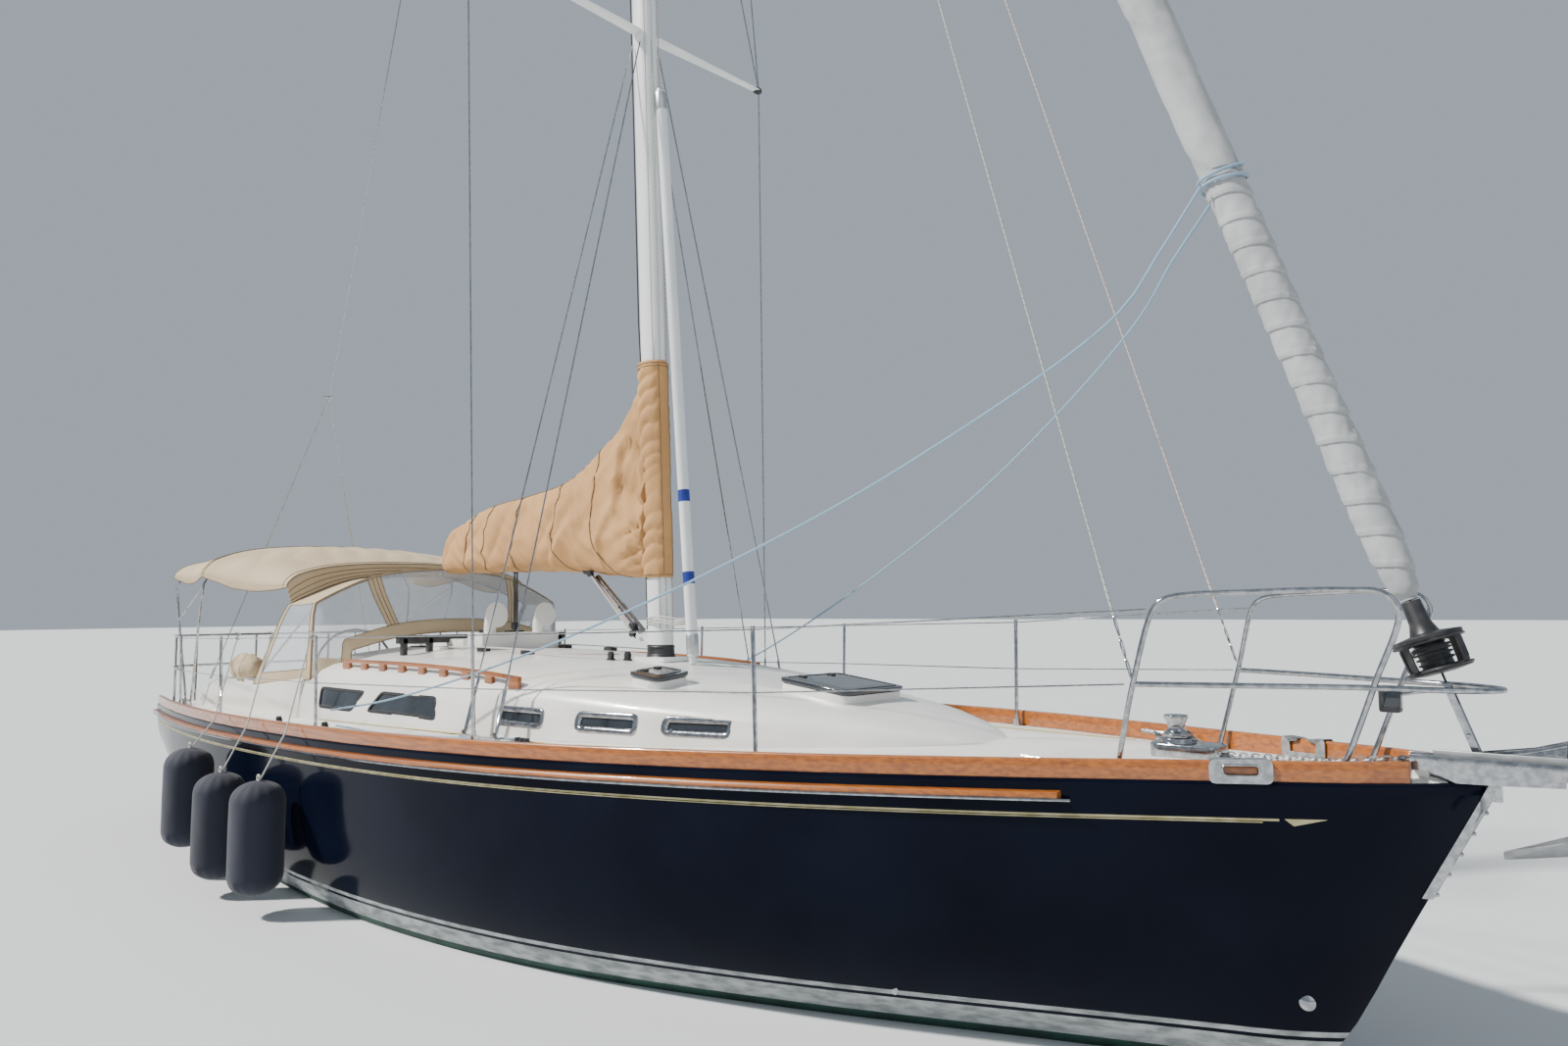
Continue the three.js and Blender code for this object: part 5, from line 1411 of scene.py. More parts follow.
binding = Form()
for p in (0.35, 2.6, 9.4, 11.65):
    binding.tube([hood_place(r, p, 0.002) for r in spread(0.1, 0.92, 30)], 0.003, 5)
for r in (0.1, 0.92):
    for low, high in ((0.35, 2.6), (9.4, 11.65)):
        binding.tube([hood_place(r, p, 0.002) for p in spread(low, high, 30)], 0.003, 5)
for r in (0.004, 1.0, 1.12, 2.62, 2.99):
    binding.tube([hood_place(r, p, 0.002) for p in spread(0.02, 11.98, 140)], 0.0035, 5)
for p in (3.95, 4.05, 4.15, 4.25):
    for across in (p, 12 - p):
        binding.tube([hood_place(r, across, 0.002) for r in spread(1.1, 2.64, 30)], 0.0035, 5)
binding.make("hood_binding", thread)

hoops = Form()
for r in (0.02, 0.97):
    hoops.tube([hood_place(r, p, -0.016) for p in spread(0.05, 11.95, 90)], 0.0115, 8)
for side in (1, -1):
    low = hood_place(0.02, 6 - side * 5.7, -0.016)
    high = hood_place(0.97, 6 - side * 3.6, -0.016)
    hoops.tube([low, high], 0.009, 8)
hoops.make("hood_hoops", stainless)
print("hood grid", len(HOOD_ROWS), "by", len(HOOD_ACROSS))

# %% [markdown]
# ## Fenders
# The fenders are air-filled, in knitted navy fleece drawn in round each end. They hang from the
# lifelines on lanyards, which their weight keeps straight.

# %% Fenders and lanyards
FENDERS = {"aft": (-2.48, 0.63), "middle": (-1.66, 0.52), "forward": (-0.88, 0.54)}
FENDER_RADIUS, FENDER_STRAIGHT = 0.185, 0.25
FENDER_DEEP = FENDER_RADIUS * 0.8
FENDER_REACH = FENDER_STRAIGHT + FENDER_DEEP
for name, (x, z) in FENDERS.items():
    y = -(beam(x) + FENDER_RADIUS + 0.05)
    rings = []
    for t in spread(-1, 1, 72):
        height = t * FENDER_REACH
        over = max(abs(height) - FENDER_STRAIGHT, 0) / FENDER_DEEP
        radius = FENDER_RADIUS * math.sqrt(max(1 - over**2, 0.0)) + 0.0015
        ring = []
        for turn in circle(48):
            gather = 0.006 * math.sin(turn * 14) * min(over * 1.6, 1) * (1 - over * 0.5)
            here = Vector((math.cos(turn) * 2, math.sin(turn) * 2, height * 6))
            knit = 0.002 * noise.noise(here)
            size = max(radius - 0.004 + gather + knit, 0.001)
            ring.append(Vector((x + size * math.cos(turn), y + size * math.sin(turn), z + height)))
        rings.append(ring)
    shape = Form().skin(rings).make(f"fleece_fender_{name}", fleece, crease=CLOTH_CREASE,
                                    replaces=[f"fender_{name}"])
    top = Vector((x, y, z + FENDER_REACH))
    rail = Vector((x, -(beam(x) - 0.105), sheer(x) + 0.75))
    sheer_edge = Vector((x, -(beam(x) + 0.055), sheer(x) + 0.06))
    line = Form().tube([top + Vector((0, 0, -0.02)), sheer_edge, rail], 0.006, 8)
    eye = [top + Vector((0.022 * math.cos(a), 0, 0.015 + 0.022 * math.sin(a)))
           for a in circle(16)]
    line.tube(eye, 0.007, 8, loop=True)
    knot = [rail + Vector((0.012 * math.cos(2 * a), 0.02 * math.sin(3 * a), 0.03 * math.sin(a)))
            for a in circle(32)]
    line.tube(knot, 0.006, 8, loop=True)
    line.make(f"fender_lanyard_{name}", white_rope)
print("fenders", len(FENDERS))

# %% [markdown]
# ## The strip between awning and hood
# A zipped strip closes the gap between the awning and the hood's after hoop. Its points are
# shared out evenly between the two edges that it joins, so it can't come adrift from either.

# %% Joining strip
def strip_place(t, v, lift=0.0):
    """t is 0 on the awning's fore edge and 1 on the hood. v is 0 to 1 from starboard to port."""
    above = awning_place(-2.9, (2 * v - 1) * 0.98)
    below = hood_place(0.03, 2.75 + 6.5 * v, 0.006)
    sag = Vector((0, 0, lift - 0.012 * math.sin(math.pi * t)))
    return above.lerp(below, t) + sag


strip_grid = [[strip_place(t, v) for v in spread(0, 1, 71)] for t in spread(0, 1, 9)]
stretched_sheet("canvas_joining_strip", strip_grid, awning_cloth)
bands = Form()
for t in (0.0, 0.3, 0.55, 0.8, 1.0):
    bands.tube([strip_place(t, v, 0.002) for v in spread(0, 1, 70)], 0.004, 6)
bands.make("strip_piping", thread)
print("strip rows", len(strip_grid))

# %% [markdown]
# ## Things in a row
# Stitches, bolt heads and chain links all repeat along a line. One Geometry Nodes tree does
# them: it walks the line in equal steps, points a copy of the piece along it, and may give each
# copy a turn, as every second link of a chain has.

# %% Rows along a line
def row_tree():
    tree = bpy.data.node_groups.new("pieces along a line", "GeometryNodeTree")
    sockets = [("Line", "NodeSocketGeometry"), ("Spacing", "NodeSocketFloat"),
               ("Turn", "NodeSocketFloat"), ("Piece", "NodeSocketObject"),
               ("Finish", "NodeSocketMaterial")]
    for name, kind in sockets:
        tree.interface.new_socket(name, in_out="INPUT", socket_type=kind)
    tree.interface.new_socket("Row", in_out="OUTPUT", socket_type="NodeSocketGeometry")

    def node(kind, settings=None, inputs=None):
        made = tree.nodes.new(kind)
        for name, value in (settings or {}).items():
            setattr(made, name, value)
        for name, value in (inputs or {}).items():
            if isinstance(value, bpy.types.NodeSocket):
                tree.links.new(value, made.inputs[name])
            else:
                made.inputs[name].default_value = value
        return made

    given = node("NodeGroupInput").outputs
    line = node("GeometryNodeMeshToCurve", None, {"Mesh": given["Line"]})
    steps = node("GeometryNodeResampleCurve", {"mode": "LENGTH"},
                 {"Curve": line.outputs["Curve"], "Length": given["Spacing"]})
    way = node("GeometryNodeInputTangent")
    aimed = node("FunctionNodeAlignRotationToVector", {"axis": "X"}, {"Vector": way.outputs[0]})
    number = node("GeometryNodeInputIndex")
    angle = node("ShaderNodeMath", {"operation": "MULTIPLY"},
                 {0: number.outputs[0], 1: given["Turn"]})
    spin = node("FunctionNodeAxisAngleToRotation", None,
                {"Axis": (1, 0, 0), "Angle": angle.outputs[0]})
    turned = node("FunctionNodeRotateRotation", {"rotation_space": "LOCAL"},
                  {"Rotation": aimed.outputs[0], "Rotate By": spin.outputs[0]})
    piece = node("GeometryNodeObjectInfo", None, {"Object": given["Piece"]})
    copies = node("GeometryNodeInstanceOnPoints", None,
                  {"Points": steps.outputs["Curve"], "Instance": piece.outputs["Geometry"],
                   "Rotation": turned.outputs[0]})
    real = node("GeometryNodeRealizeInstances", None, {"Geometry": copies.outputs[0]})
    done = node("GeometryNodeSetMaterial", None,
                {"Geometry": real.outputs[0], "Material": given["Finish"]})
    node("NodeGroupOutput", None, {"Row": done.outputs[0]})
    return tree


ROW_TREE = row_tree()
ROW_INPUTS = {
    item.name: item.identifier for item in ROW_TREE.interface.items_tree if item.in_out == "INPUT"
}


def rows(name, lines, piece, spacing, finish, body=HULL_BODY, turn=0.0):
    """Copies of the piece along each line, made into one plain mesh."""
    points, edges = [], []
    for line in lines:
        first = len(points)
        points.extend(tuple(p) for p in line)
        edges.extend((i, i + 1) for i in range(first, len(points) - 1))
    mesh = bpy.data.meshes.new(f"{name}_line")
    mesh.from_pydata(points, edges, [])
    path = added(f"{name}_line", mesh)
    walk = path.modifiers.new("row", "NODES")
    walk.node_group = ROW_TREE
    values = {"Spacing": spacing, "Turn": turn, "Piece": piece, "Finish": finish.material}
    for key, value in values.items():
        walk[ROW_INPUTS[key]] = value
    graph = bpy.context.evaluated_depsgraph_get()
    made = bpy.data.meshes.new_from_object(path.evaluated_get(graph))
    bpy.data.objects.remove(path)
    for polygon in made.polygons:
        polygon.use_smooth = True
    return dress(added(name, made), finish, body)


def bead(name, size, around, high):
    """A small ball, stretched to a size along each axis."""
    mesh = bpy.data.meshes.new(name)
    body = bmesh.new()
    bmesh.ops.create_uvsphere(
        body, u_segments=around, v_segments=high, radius=0.5, matrix=Matrix.Diagonal((*size, 1))
    )
    body.to_mesh(mesh)
    body.free()
    return added(name, mesh)


stitch = bead("stitch_pattern", (0.007, 0.0016, 0.0016), 6, 4)
screw = bead("screw_pattern", (0.009, 0.009, 0.006), 10, 6)
LINK_LENGTH, LINK_WIDTH, LINK_WIRE = 0.038, 0.026, 0.004
STITCH_STEP = 0.011
link_path = []
for a in circle(16):
    stretch = math.copysign((LINK_LENGTH - LINK_WIDTH) / 2, math.cos(a))
    link_path.append((stretch + LINK_WIDTH / 2 * math.cos(a), LINK_WIDTH / 2 * math.sin(a), 0))
link = Form().tube(link_path, LINK_WIRE, 6, loop=True).make("link_pattern", galvanised, None)

seam_rows = []
for seam_x, lean in COVER_SEAMS:
    for offset in (-0.011, 0.011):
        seam_rows.append(seam_line(seam_x + offset, lean, 0.05, 1.95, 90, 0.001))
rows("cover_stitches", seam_rows, stitch, STITCH_STEP, thread, "boom")

awning_rows = [[awning_place(x, v, 0.002) for v in spread(-1, 1, 120)] for x in (-4.63, -3.02)]
awning_rows += [[awning_place(x, v, 0.002) for x in spread(-5.58, -2.92, 120)]
                for v in (-0.965, 0.965)]
hood_rows = [[hood_place(r, p, 0.0025) for p in spread(0.1, 11.9, 160)] for r in (1.08, 2.66)]
hood_rows += [[hood_place(r, p, 0.0025) for r in spread(0.05, 0.95, 40)] for p in (2.72, 9.28)]
rows("canvas_stitches", awning_rows + hood_rows, stitch, STITCH_STEP, thread)

plugs = [[on_hull(x, sheer(x) - 0.056, side, 0.0375) for x in spread(-5.7, 4.5, 60)]
         for side in SIDES.values()]
rows("strake_plugs", plugs, screw, 0.3, teak)
collar_lacing = [[collar_place(0.62, z, 0.002) for z in spread(2.45, 4.0, 30)]]
rows("collar_hooks", collar_lacing, screw, 0.11, stainless)
chain_line = curve_through(
    [(4.86, -0.03, 1.5), (5.0, -0.05, top_of("deck", 5.0, -0.05) + 0.03),
     (5.3, -0.07, top_of("deck", 5.3, -0.07) + 0.016), (5.6, -0.09, 1.43), (5.86, -0.11, 1.462),
     (6.15, -0.11, 1.478)], 0.02)
rows("anchor_chain", [chain_line], link, LINK_LENGTH * 0.74, galvanised, turn=math.pi / 2)
for pattern in (stitch, screw, link):
    bpy.data.objects.remove(pattern)
print("rows of stitches, plugs and links made")

# %% [markdown]
# ## Standing rigging fittings
# Each shroud ends in a swaged terminal and a turnbuckle, which sets its tension. They're turned
# shapes, so a lathe about the wire's own line makes them. Two flat straps hold the forestay.

# %% Turnbuckles and spreader ends
TURNBUCKLE = [
    (0.009, 0.03), (0.011, 0.06), (0.006, 0.065), (0.006, 0.1), (0.013, 0.105), (0.014, 0.13),
    (0.011, 0.14), (0.011, 0.23), (0.014, 0.24), (0.013, 0.265), (0.006, 0.27), (0.006, 0.3),
    (0.009, 0.305), (0.009, 0.4), (0.0055, 0.415),
]
TURNBUCKLE_START = 0.02
SHROUD_FOOT_Y = 1.435
CHAINPLATE = (Vector((-0.022, -0.006, -0.01)), Vector((0.022, 0.006, 0.06)))
PIN_PROFILE = [(0.002, 0), (0.009, 0.001), (0.009, 0.051), (0.002, 0.052)]
CAP_PROFILE = [
    (0.002, -0.045), (0.026, -0.04), (0.034, -0.015), (0.034, 0.02), (0.02, 0.04), (0.002, 0.042),
]
SPREADERS = [(6.8, 1.5, 0.16, 0.15), (12.3, 1.12, 0.13, 0.12)]
turnbuckles = Form()
for side in SIDES.values():
    tip = Vector((0.46, side * 1.5, 6.95))
    root = Vector((mast_x(6.7), side * 0.08, 6.7))
    for foot_x, end in ((0.59, tip), (0.47, root), (0.85, root)):
        foot = Vector((foot_x, side * SHROUD_FOOT_Y, top_of("deck", foot_x, side * SHROUD_FOOT_Y)))
        profile = [(r, TURNBUCKLE_START + d) for r, d in TURNBUCKLE]
        turnbuckles.lathe(profile, foot, (end - foot).normalized(), 14)
        turnbuckles.block(*(foot + corner for corner in CHAINPLATE))
for lift in (-0.017, 0.017):
    def on_strap(u, v, out, lift=lift):
        return STAY_FOOT + STAY_WAY * u + STAY_FRONT * v + STAY_SIDE * (lift + out)

    strap = rounded(rectangle(-0.03, 0.33, -0.015, 0.015), 0.012)
    plate(turnbuckles, strap, on_strap, -0.002, 0.002)
for d in (0.0, 0.1, 0.3):
    pin = STAY_FOOT + STAY_WAY * d - STAY_SIDE * 0.026
    turnbuckles.lathe(PIN_PROFILE, pin, STAY_SIDE, 12)
turnbuckles.make("turnbuckles", stainless, soften=0.001)

caps = Form()
for z, span, sweep, rise in SPREADERS:
    for side in SIDES.values():
        tip = Vector((mast_x(z) - sweep, side * span, z + rise))
        caps.lathe(CAP_PROFILE, tip, (0, side, 0.1), 16)
caps.make("spreader_caps", black)
print("turnbuckles 6, straps 2, spreader caps 4")

# %% [markdown]
# ## Mast and pole fittings
# A rubber boot seals the mast where it meets the cabin top. Halyards run down the mast's sides
# to turning blocks at its foot, and the stowed pole is marked with bands of blue tape.

# %% Mast fittings
def on_mast(z, turn, grow):
    """A place on the mast's wall, or off it by grow. turn is 0 on its fore side."""
    long, wide = (half + grow for half in MAST_HALF)
    return Vector((mast_x(z) + long * math.cos(turn), wide * math.sin(turn), z))


def mast_ring(z, grow):
    return [on_mast(z, turn, grow) for turn in circle(40)]


BOOT_STEPS = [
    (-0.01, 0.05), (0.012, 0.05), (0.03, 0.022), (0.06, 0.008), (0.13, 0.006), (0.135, 0.0),
]
roof_at_mast = top_of("coachroof", 1.15, 0.0)
boot = Form().skin([mast_ring(roof_at_mast + h, grow) for h, grow in BOOT_STEPS])
for h in (0.06, 0.12):
    boot.tube(mast_ring(roof_at_mast + h, 0.009), 0.004, 6, loop=True)
boot.make("mast_boot", black)

track = Form()
ring = [(-0.011, -0.012), (-0.011, 0.012), (0.004, 0.012), (0.004, -0.012)]
track.skin([
    [Vector((mast_x(z) - MAST_HALF[0] + x, y, z)) for x, y in ring] for z in spread(4.1, 17.9, 12)
])
track.make("mast_track", alloy, soften=0.0015)

HALYARDS = [
    ("halyard_green", green_rope, -0.35, 0.0055), ("halyard_white", white_rope, -0.9, 0.0055),
    ("halyard_dark", dark_rope, -2.3, 0.006), ("halyard_red", red_rope, 0.7, 0.0055),
    ("halyard_port", white_rope, 2.2, 0.0055),
]
HALYARD_TOP = 17.6
# The collar presses the halyards against the mast up to this height.
PRESSED_TO = 4.15
for name, finish, turn, radius in HALYARDS:
    line = [
        on_mast(z, turn, 0.012 if z > PRESSED_TO else 0.002) for z in spread(1.98, HALYARD_TOP, 40)
    ]
    Form().tube(line, radius, 7).make(name, finish)

BOW_HALYARDS = [
    ("bow_halyard_green", green_rope, (0.36, 0.0, HALYARD_TOP), (4.87, -0.655, 1.8)),
    ("bow_halyard_fleck", red_rope, (0.32, 0.03, HALYARD_TOP), (4.885, 0.655, 1.83)),
]
# Each row of the shackle: how far down the line, how long and how wide.
SHACKLE = [(0.982, 0.05, 0.011), (0.9885, 0.045, 0.013), (0.9945, 0.05, 0.012)]
for name, finish, head, foot in BOW_HALYARDS:
    head, foot = Vector(head), Vector(foot)
    line = [head.lerp(foot, t) for t in (0, 0.25, 0.5, 0.75, 0.965, 0.975, 0.982)]
    Form().tube(line, [0.005] * 5 + [0.008, 0.006], 8).make(name, finish)
    clip = Form()
    along, over = (foot - head).normalized(), Vector((0, 1, 0))
    for start, long, wide in SHACKLE:
        middle = head.lerp(foot, start + 0.003)
        clip.tube([middle + along * (long * math.cos(a)) + over * (wide * math.sin(a))
                   for a in circle(16)], 0.004, 6, loop=True)
    clip.make(f"{name}_shackle", stainless)

POLE_FOOT = Vector((1.21, 0, top_of("coachroof", 1.21, 0.0) + 0.062))
POLE_HEAD = Vector((mast_x(6.25) + 0.175, 0, 6.25))
POLE_WAY = (POLE_HEAD - POLE_FOOT).normalized()
BAND_PROFILE = [(0.0425, -0.045), (0.0445, -0.044), (0.0445, 0.044), (0.0425, 0.045)]
bands = Form()
for z in (2.98, 2.36):
    middle = POLE_FOOT + POLE_WAY * ((z - POLE_FOOT.z) / POLE_WAY.z)
    bands.lathe(BAND_PROFILE, middle, POLE_WAY, 28)
blue_tape = Finish("blue_tape", (0.01, 0.03, 0.28), 0.45)
mottled(blue_tape, (0.01, 0.03, 0.3), (0.008, 0.02, 0.2), 30.0)
bands.make("pole_tape", blue_tape)
pole_ends = Form()
for point, sign in ((POLE_HEAD, -1), (POLE_FOOT, 1)):
    pole_ends.lathe([(0.002, -0.03 * sign), (0.03, -0.02 * sign), (0.047, 0.02 * sign),
                     (0.047, 0.15 * sign), (0.043, 0.16 * sign)], point, POLE_WAY, 24)
pole_ends.make("pole_ends", alloy)
lash = Form()
for z in (2.02, 2.04, 2.065):
    middle = Vector((mast_x(z) + 0.09, 0, z))
    lash.tube([
        middle + Vector((0.21 * math.cos(a), 0.1 * math.sin(a), 0.01 * math.sin(3 * a)))
        for a in circle(40)
    ], 0.006, 7, loop=True)
lash.make("pole_lashing", white_rope)
print("mast boot, track,", len(HALYARDS), "halyards and the pole's tape")

# %% [markdown]
# ## Boom tackles
# The vang and the mainsheet pull the boom down through blocks. Each one is made from a point on
# the yacht to a point under the boom, and rides on no body.

# %% Vang and mainsheet tackles
def pulley(form, centre, axis, radius, width):
    """A block: two cheeks with a sheave between them."""
    profile = [(radius * 0.3, -width), (radius, -width * 0.85), (radius, -width * 0.4),
               (radius * 0.7, -width * 0.35), (radius * 0.7, width * 0.35), (radius, width * 0.4),
               (radius, width * 0.85), (radius * 0.3, width)]
    form.lathe(profile, centre, axis, 20)


def tackle(name, low, high, finish, parts, block_radius):
    """Two blocks with parts of rope between them, from the yacht up to the boom."""
    low, high = Vector(low), Vector(high)
    across = Vector((0, 1, 0))
    form = Form()
    for i in range(parts):
        shift = across * (0.011 * (i - (parts - 1) / 2))
        slack = Vector((0.012 * math.sin(i * 2.1), 0, 0))
        form.tube([low + shift + slack, high + shift - slack], 0.0055, 7, mark=1)
    for end in (low, high):
        pulley(form, end, across, block_radius, 0.012 + 0.004 * parts)
        form.tube([end - (high - low).normalized() * 0.05, end], 0.006, 8)
    shape = form.make(name, [black, finish], None, crease=ROUNDED_CREASE)
    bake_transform(shape)


tackle("vang_tackle", (0.57, -0.045, 1.99), (-0.02, -0.045, 2.45), red_rope, 4, 0.034)
tackle("vang_tail", (0.6, -0.075, 1.94), (0.06, -0.075, 2.42), white_rope, 2, 0.026)
tackle("mainsheet", (-1.58, 0.3, 1.98), (-1.2, 0.05, 2.5), dark_rope, 4, 0.036)

roof_gear = Form()
for x, y, radius in ((0.72, -0.22, 0.036), (0.62, -0.3, 0.032), (0.55, 0.25, 0.034)):
    z = top_of("coachroof", x, y)
    pulley(roof_gear, (x, y, z + 0.035), (0.2, 1, 0), radius, 0.016)
    roof_gear.block((x - 0.03, y - 0.02, z - 0.004), (x + 0.03, y + 0.02, z + 0.014))
for y in (-0.42, 0.42):
    for x in (-0.3, -0.95):
        z = top_of("coachroof", x, y)
        roof_gear.block((x - 0.05, y - 0.035, z - 0.004), (x + 0.05, y + 0.035, z + 0.03))
roof_gear.block((-1.63, -0.86, 1.845), (-1.57, 0.86, 1.915))
roof_gear.block((-1.645, 0.22, 1.91), (-1.555, 0.38, 1.94))
roof_gear.make("roof_blocks", black, soften=0.003)
CONTROL_LINES = [
    ("control_line_green", green_rope, -0.4),
    ("control_line_red", red_rope, -0.43),
    ("control_line_white", white_rope, 0.42),
]
LEAD_X = 0.62
for name, finish, y in CONTROL_LINES:
    points = [(LEAD_X, y * 0.55, top_of("coachroof", LEAD_X, y * 0.55) + 0.04)]
    for x in (0.3, -0.3, -0.95, -1.75):
        points.append((x, y, top_of("coachroof", x, y) + (0.034 if x > -1.2 else 0.02)))
    Form().tube(curve_through(points, 0.06), 0.0055, 7).make(name, finish)
print("tackles and control lines led")

# %% [markdown]
# ## Fittings on the side decks
# The sheets come through cars on a track to the cockpit, and a webbing jackline runs the length
# of the deck. All are set on the deck by a ray.

# %% Deck fittings
def on_deck(x, y, lift=0.0):
    return Vector((x, y, top_of("deck", x, y) + lift))


TRACK_IN = 0.2
deck_black, deck_steel = Form(), Form()
for side in SIDES.values():
    track_line = [on_deck(x, side * (beam(x) - TRACK_IN)) for x in spread(-2.6, 0.1, 30)]
    ring = ((-0.016, 0.0), (-0.016, 0.014), (0.016, 0.014), (0.016, 0.0))
    deck_steel.skin([[p + Vector((0, y, z)) for y, z in ring] for p in track_line])
    for x in (-0.82, -1.7):
        base = on_deck(x, side * (beam(x) - TRACK_IN), 0.014)
        deck_black.block(base + Vector((-0.05, -0.03, -0.006)), base + Vector((0.05, 0.03, 0.022)))
        pulley(deck_black, base + Vector((0, 0, 0.055)), (0, 1, 0.1), 0.034, 0.016)
    foot = on_deck(1.05, side * 1.36)
    for step in (-0.05, 0.0, 0.05):
        knob = foot + Vector((step, 0, 0))
        deck_black.lathe([(0.002, 0.03), (0.02, 0.028), (0.022, 0.0)], knob, sides=16)
    deck_steel.block(foot + Vector((-0.08, -0.03, -0.003)), foot + Vector((0.08, 0.03, 0.004)))
deck_black.make("sheet_cars", black, soften=0.003)
deck_steel.make("sheet_tracks", alloy, soften=0.0015)

webbing = Finish("yellow_webbing", (0.62, 0.5, 0.12), 0.8, Sheen_Weight=0.2)
mottled(webbing, (0.66, 0.54, 0.16), (0.5, 0.38, 0.08), 25.0)
webbing.bump(webbing.along("X").wrap(0.002) * 500.0, 0.0005)
JACKLINE_OUT = 1.33
WEBBING = [(-0.0125, 0), (-0.0125, 0.002), (0.0125, 0.002), (0.0125, 0)]
for name, side in SIDES.items():
    line = [
        on_deck(x, side * (JACKLINE_OUT if x < 1.4 else JACKLINE_OUT - (x - 1.4) * 0.235), 0.004)
        for x in spread(-2.0, 4.3, 60)
    ]
    ribbon = [[p + Vector((0, w, h)) for w, h in WEBBING] for p in line]
    Form().skin(ribbon).make(f"jackline_{name}", webbing)

tail_points = [(-0.84, -1.72, 0.06), (-0.4, -1.6, 0.012), (0.3, -1.5, 0.01), (0.98, -1.37, 0.02)]
tail = curve_through([on_deck(x, y, lift) for x, y, lift in tail_points], 0.08)
Form().tube(tail, 0.007, 8).make("sheet_tail", blue_rope)
print("tracks, cars and jacklines laid")

# %% [markdown]
# ## The bow
# A closed chock stands on the starboard rail and one with open horns on the port rail. The
# furling drum has its cage, and the pulpit carries a running light. The bow is nearest the eye,
# so its edges are worth modelling.

# %% Bow fittings
bow_steel = Form()
CHOCK_X, CHOCK_LENGTH = 5.28, 0.26
HORN = [(0.13, -0.03), (0.13, 0.06), (0.12, 0.075), (0.03, 0.07), (0.035, 0.058), (0.08, 0.05),
        (0.078, 0.0), (0.078, -0.03)]
SILL = [(-0.08, -0.03), (-0.08, 0.002), (0.08, 0.002), (0.08, -0.03)]
for side in SIDES.values():
    edge = [
        Vector((x, side * (beam(x) - 0.028), sheer(x) + 0.04))
        for x in (CHOCK_X - 0.12, CHOCK_X + 0.12)
    ]
    way = (edge[1] - edge[0]).normalized()
    out = Vector((way.y, -way.x, 0)) * (-side if way.x > 0 else side)
    middle = (edge[0] + edge[1]) / 2

    def on_rail(u, v, lift):
        return middle + way * u + Vector((0, 0, v)) + out * lift

    if side > 0:
        for end in (-1, 1):
            horn = [(end * u, v) for u, v in HORN]
            for face in (-0.03, 0.03):
                walls = (face - 0.004, face + 0.004)
                bow_steel.skin([[on_rail(*p, lift) for p in horn] for lift in walls])
            bow_steel.skin([[on_rail(*p, lift) for p in horn[2:6]] for lift in (-0.034, 0.034)])
        bow_steel.skin([[on_rail(*p, lift) for p in SILL] for lift in (-0.034, 0.034)])
        continue
    outline = rounded(rectangle(-CHOCK_LENGTH / 2, CHOCK_LENGTH / 2, -0.03, 0.075), 0.03)
    slot = rounded(rectangle(-0.075, 0.075, 0.005, 0.05), 0.02)
    for face in (1, -1):
        def on_face(u, v, lift, face=face):
            return on_rail(u, v, face * (0.03 + lift))

        rings = [[on_face(*p, 0.004) for p in outline], [on_face(*p, 0.004) for p in slot]]
        bow_steel.skin(rings, ends=False)
    for border in (slot, outline):
        wall = [[on_rail(*p, lift) for p in border] for lift in (0.034, -0.034)]
        bow_steel.skin(wall, ends=False)
    bow_steel.tube([on_rail(*p, 0.034) for p in slot], 0.006, 8, loop=True)
bow_steel.make("bow_chocks", stainless)

light = Form()
light.block((5.765, -0.175, 1.66), (5.85, -0.115, 1.775))
light.make("running_light", black, soften=0.012)
lens = Form().block((5.782, -0.179, 1.682), (5.854, -0.13, 1.752))
lens.make("running_lens", smoked, soften=0.008)
arm = curve_through([(5.83, -0.13, 1.735), (5.93, -0.05, 1.75), (6.0, 0.0, 1.752)], 0.02)
Form().tube(arm, 0.008, 8).make("light_bracket", stainless)

cage = Form()
ARM_HALF, ARM_THICK = 0.015, 0.004
ARM_BENDS = [(0.39, 0.118), (0.398, 0.138), (0.42, 0.143), (0.5, 0.146), (0.516, 0.138)]
ARM_CORNERS = [(-1, -1), (-1, 1), (1, 1), (1, -1)]
for a in spread(0.5, 0.5 + 2 * math.pi, 5)[:-1]:
    arm = []
    for d, r in ARM_BENDS:
        arm.append([on_stay(d, a + w * ARM_HALF / r, r + t * ARM_THICK) for w, t in ARM_CORNERS])
    cage.skin(arm)
for d, r in ((0.392, 0.13), (0.514, 0.14)):
    cage.tube([on_stay(d, a, r) for a in circle(40)], 0.006, 6, loop=True)
cage.make("furler_cage", black, "furler")
furling = Form()
furling.tube([on_stay(0.415 + 0.075 * abs(math.sin(t * 2)), t * 12 * math.pi, 0.071 + 0.004 * t)
              for t in spread(0, 1, 200)], 0.0045, 6)
furling.make("furling_line_turns", dark_rope, "furler")

SKIN_FITTINGS = [
    ([(0.036, 0.0), (0.034, 0.012), (0.02, 0.02), (0.002, 0.022)], 5.42, 0.36, (0.3, -1, 0)),
    ([(0.022, 0.0), (0.02, 0.006), (0.012, 0.007)], 3.7, 0.21, (0.1, -1, 0)),
]
clam = Form()
for profile, x, z, out in SKIN_FITTINGS:
    clam.lathe(profile, on_hull(x, z, -1, 0.0), out, 20)
clam.make("hull_fittings", stainless)
print("bow fittings made")

# %% [markdown]
# ## Stem plates and the pulpit
# Polished cheeks stand either side of the anchor roller, and a strip bolted down the stem guards
# it from the chain. The pulpit is bent tube, so it is swept again here with far more steps.

# %% Stem plates and pulpit
STEM_FOOT, STEM_SLOPE = (5.51, 0.16), 1.876
GUARD_LOW, GUARD_HIGH = 0.86, 1.372


def stem_x(z):
    return STEM_FOOT[0] + (z - STEM_FOOT[1]) / STEM_SLOPE


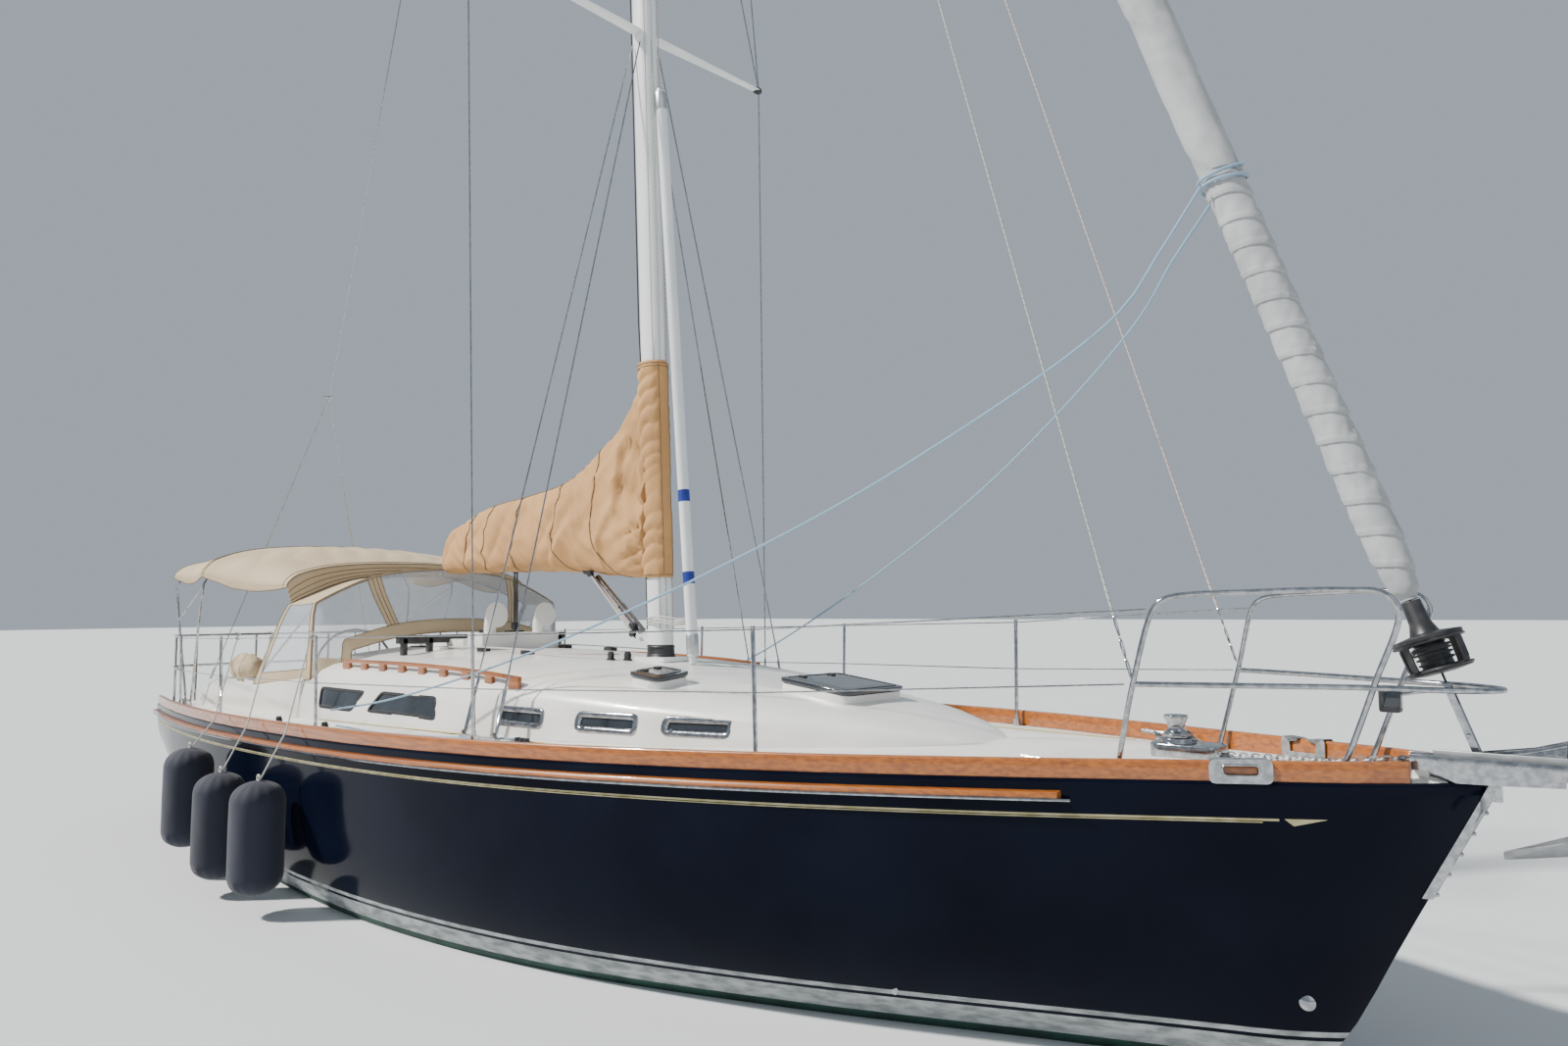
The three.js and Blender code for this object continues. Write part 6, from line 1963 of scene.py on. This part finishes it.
GUARD_REACH = 0.022
guard_rings = []
for z in spread(GUARD_LOW, GUARD_HIGH, 14):
    x = stem_x(z)
    side_y = hull_side(min(x, BOW_X) - GUARD_REACH, z) + 0.001
    half = [
        (x - GUARD_REACH, side_y + 0.005), (x + 0.0075, 0.022), (x + 0.0175, 0.013),
        (x + 0.0175, 0), (x - 0.004, 0), (x - GUARD_REACH, side_y),
    ]
    port = [Vector((*p, z)) for p in half]
    guard_rings.append(port + mirrored(port))
guard_form = Form()
for half in (0, 6):
    guard_form.skin([ring[half : half + 6] for ring in guard_rings])
guard_form.make("stem_guard", stainless, crease=ROUNDED_CREASE)
bolt = bead("bolt_pattern", (0.02, 0.02, 0.022), 10, 6)
heights = spread(GUARD_LOW + 0.02, GUARD_HIGH - 0.03, 20)
front = [Vector((stem_x(z) + 0.019, 0, z)) for z in heights]
rows("stem_bolts", [front], bolt, 0.098, stainless)
bpy.data.objects.remove(bolt)

CHEEK = [
    (5.93, 1.372), (6.18, 1.38), (6.4, 1.392), (6.41, 1.56), (6.28, 1.52), (5.93, 1.462),
    (5.82, 1.47), (5.83, 1.44), (5.93, 1.44),
]
cheeks, pads = Form(), Form()
for side in SIDES.values():
    cheeks.skin([[Vector((x, side * y, z)) for x, z in CHEEK] for y in (0.1, 0.105)])
    edge = [Vector((x, side * 0.1025, z)) for x, z in CHEEK[3:7]]
    cheeks.tube(edge, 0.005, 6)
    pads.block((5.865, side * 0.1, 1.374), (5.93, side * 0.118, 1.456))
cheeks.make("roller_cheeks", stainless, soften=0.001)
pads.make("roller_pads", white, soften=0.003)

PULPIT_BAR = 0.013
# Each foot: its x, how far inside the rail, where the deck under it is felt, and its lift.
PULPIT_FEET = [(4.78, 0.105, 0.64, 0.003), (5.625, 0.11, 0.24, 0.005)]
FLANGE = [(0.034, -0.002), (0.034, 0.004), (0.02, 0.009), (0.015, 0.03)]
pulpit = Form()
for side in SIDES.values():
    aft_foot, fore_foot = (
        Vector((x, side * (beam(x) - inside), top_of("deck", x, side * felt) + lift))
        for x, inside, felt, lift in PULPIT_FEET
    )
    bends = [
        (4.89, side * 0.68, 1.78), (4.99, side * 0.655, 2.12), (5.04, side * 0.64, 2.16),
        (5.38, side * 0.47, 2.185), (5.7, side * 0.33, 2.19), (5.83, side * 0.306, 2.178),
        (5.89, side * 0.3, 2.11), (5.775, side * 0.262, 1.78),
    ]
    pulpit.tube(curve_through([aft_foot, *bends, fore_foot], 0.03), PULPIT_BAR, 14)
    for foot in (aft_foot, fore_foot):
        pulpit.lathe(FLANGE, foot, sides=20)
waist = [(4.89, -0.68, 1.772), (5.35, -0.47, 1.772), (5.775, -0.262, 1.77), (6.03, -0.185, 1.766),
         (6.15, -0.1, 1.764), (6.2, 0, 1.764)]
waist += [(x, -y, z) for x, y, z in reversed(waist[:-1])]
pulpit.tube(curve_through(waist, 0.03), PULPIT_BAR, 14)
pulpit.make("pulpit_fine", stainless, replaces=["pulpit"])
print("guard from", GUARD_LOW, "to", GUARD_HIGH, "and the pulpit's bends", len(bends))

# %% [markdown]
# ## Canvas on the coaming
# A side curtain is rolled up and tied down on the starboard coaming. It's a soft bundle, so its
# outline wanders and two ties pinch it.

# %% Rolled curtain
BUNDLE_MIDDLE, BUNDLE_HALF = Vector((-3.97, -1.2, 1.585)), (0.27, 0.1, 0.13)
BUNDLE_TIES = (-0.35, 0.35)
bundle_rings = []
for t in spread(-0.999, 0.999, 60):
    full = (1 - abs(t) ** 3.5) ** 0.5
    pinch = 1 - 0.22 * max(math.exp(-(((t - tie) / 0.06) ** 2)) for tie in BUNDLE_TIES)
    ring = []
    for a in circle(40):
        here = Vector((t * 2.2, math.cos(a) * 1.3, math.sin(a) * 1.3))
        size = full * pinch * (1 + 0.22 * noise.noise(here) + 0.05 * noise.noise(here * 4))
        wide, high = BUNDLE_HALF[1] * size, BUNDLE_HALF[2] * size
        away = Vector((t * BUNDLE_HALF[0], math.cos(a) * wide, math.sin(a) * high))
        ring.append(BUNDLE_MIDDLE + away)
    bundle_rings.append(ring)
bundle_shape = Form().skin(bundle_rings).make("rolled_curtain", awning_cloth, crease=CLOTH_CREASE)
ties = Form()
for tie in BUNDLE_TIES:
    tie_x = BUNDLE_MIDDLE.x + tie * BUNDLE_HALF[0]
    near = min(bundle_rings, key=lambda ring: abs(ring[0].x - tie_x))
    ties.tube(near, 0.005, 6, loop=True)
ties.make("curtain_ties", thread)
print("curtain", len(bundle_rings), "rings")
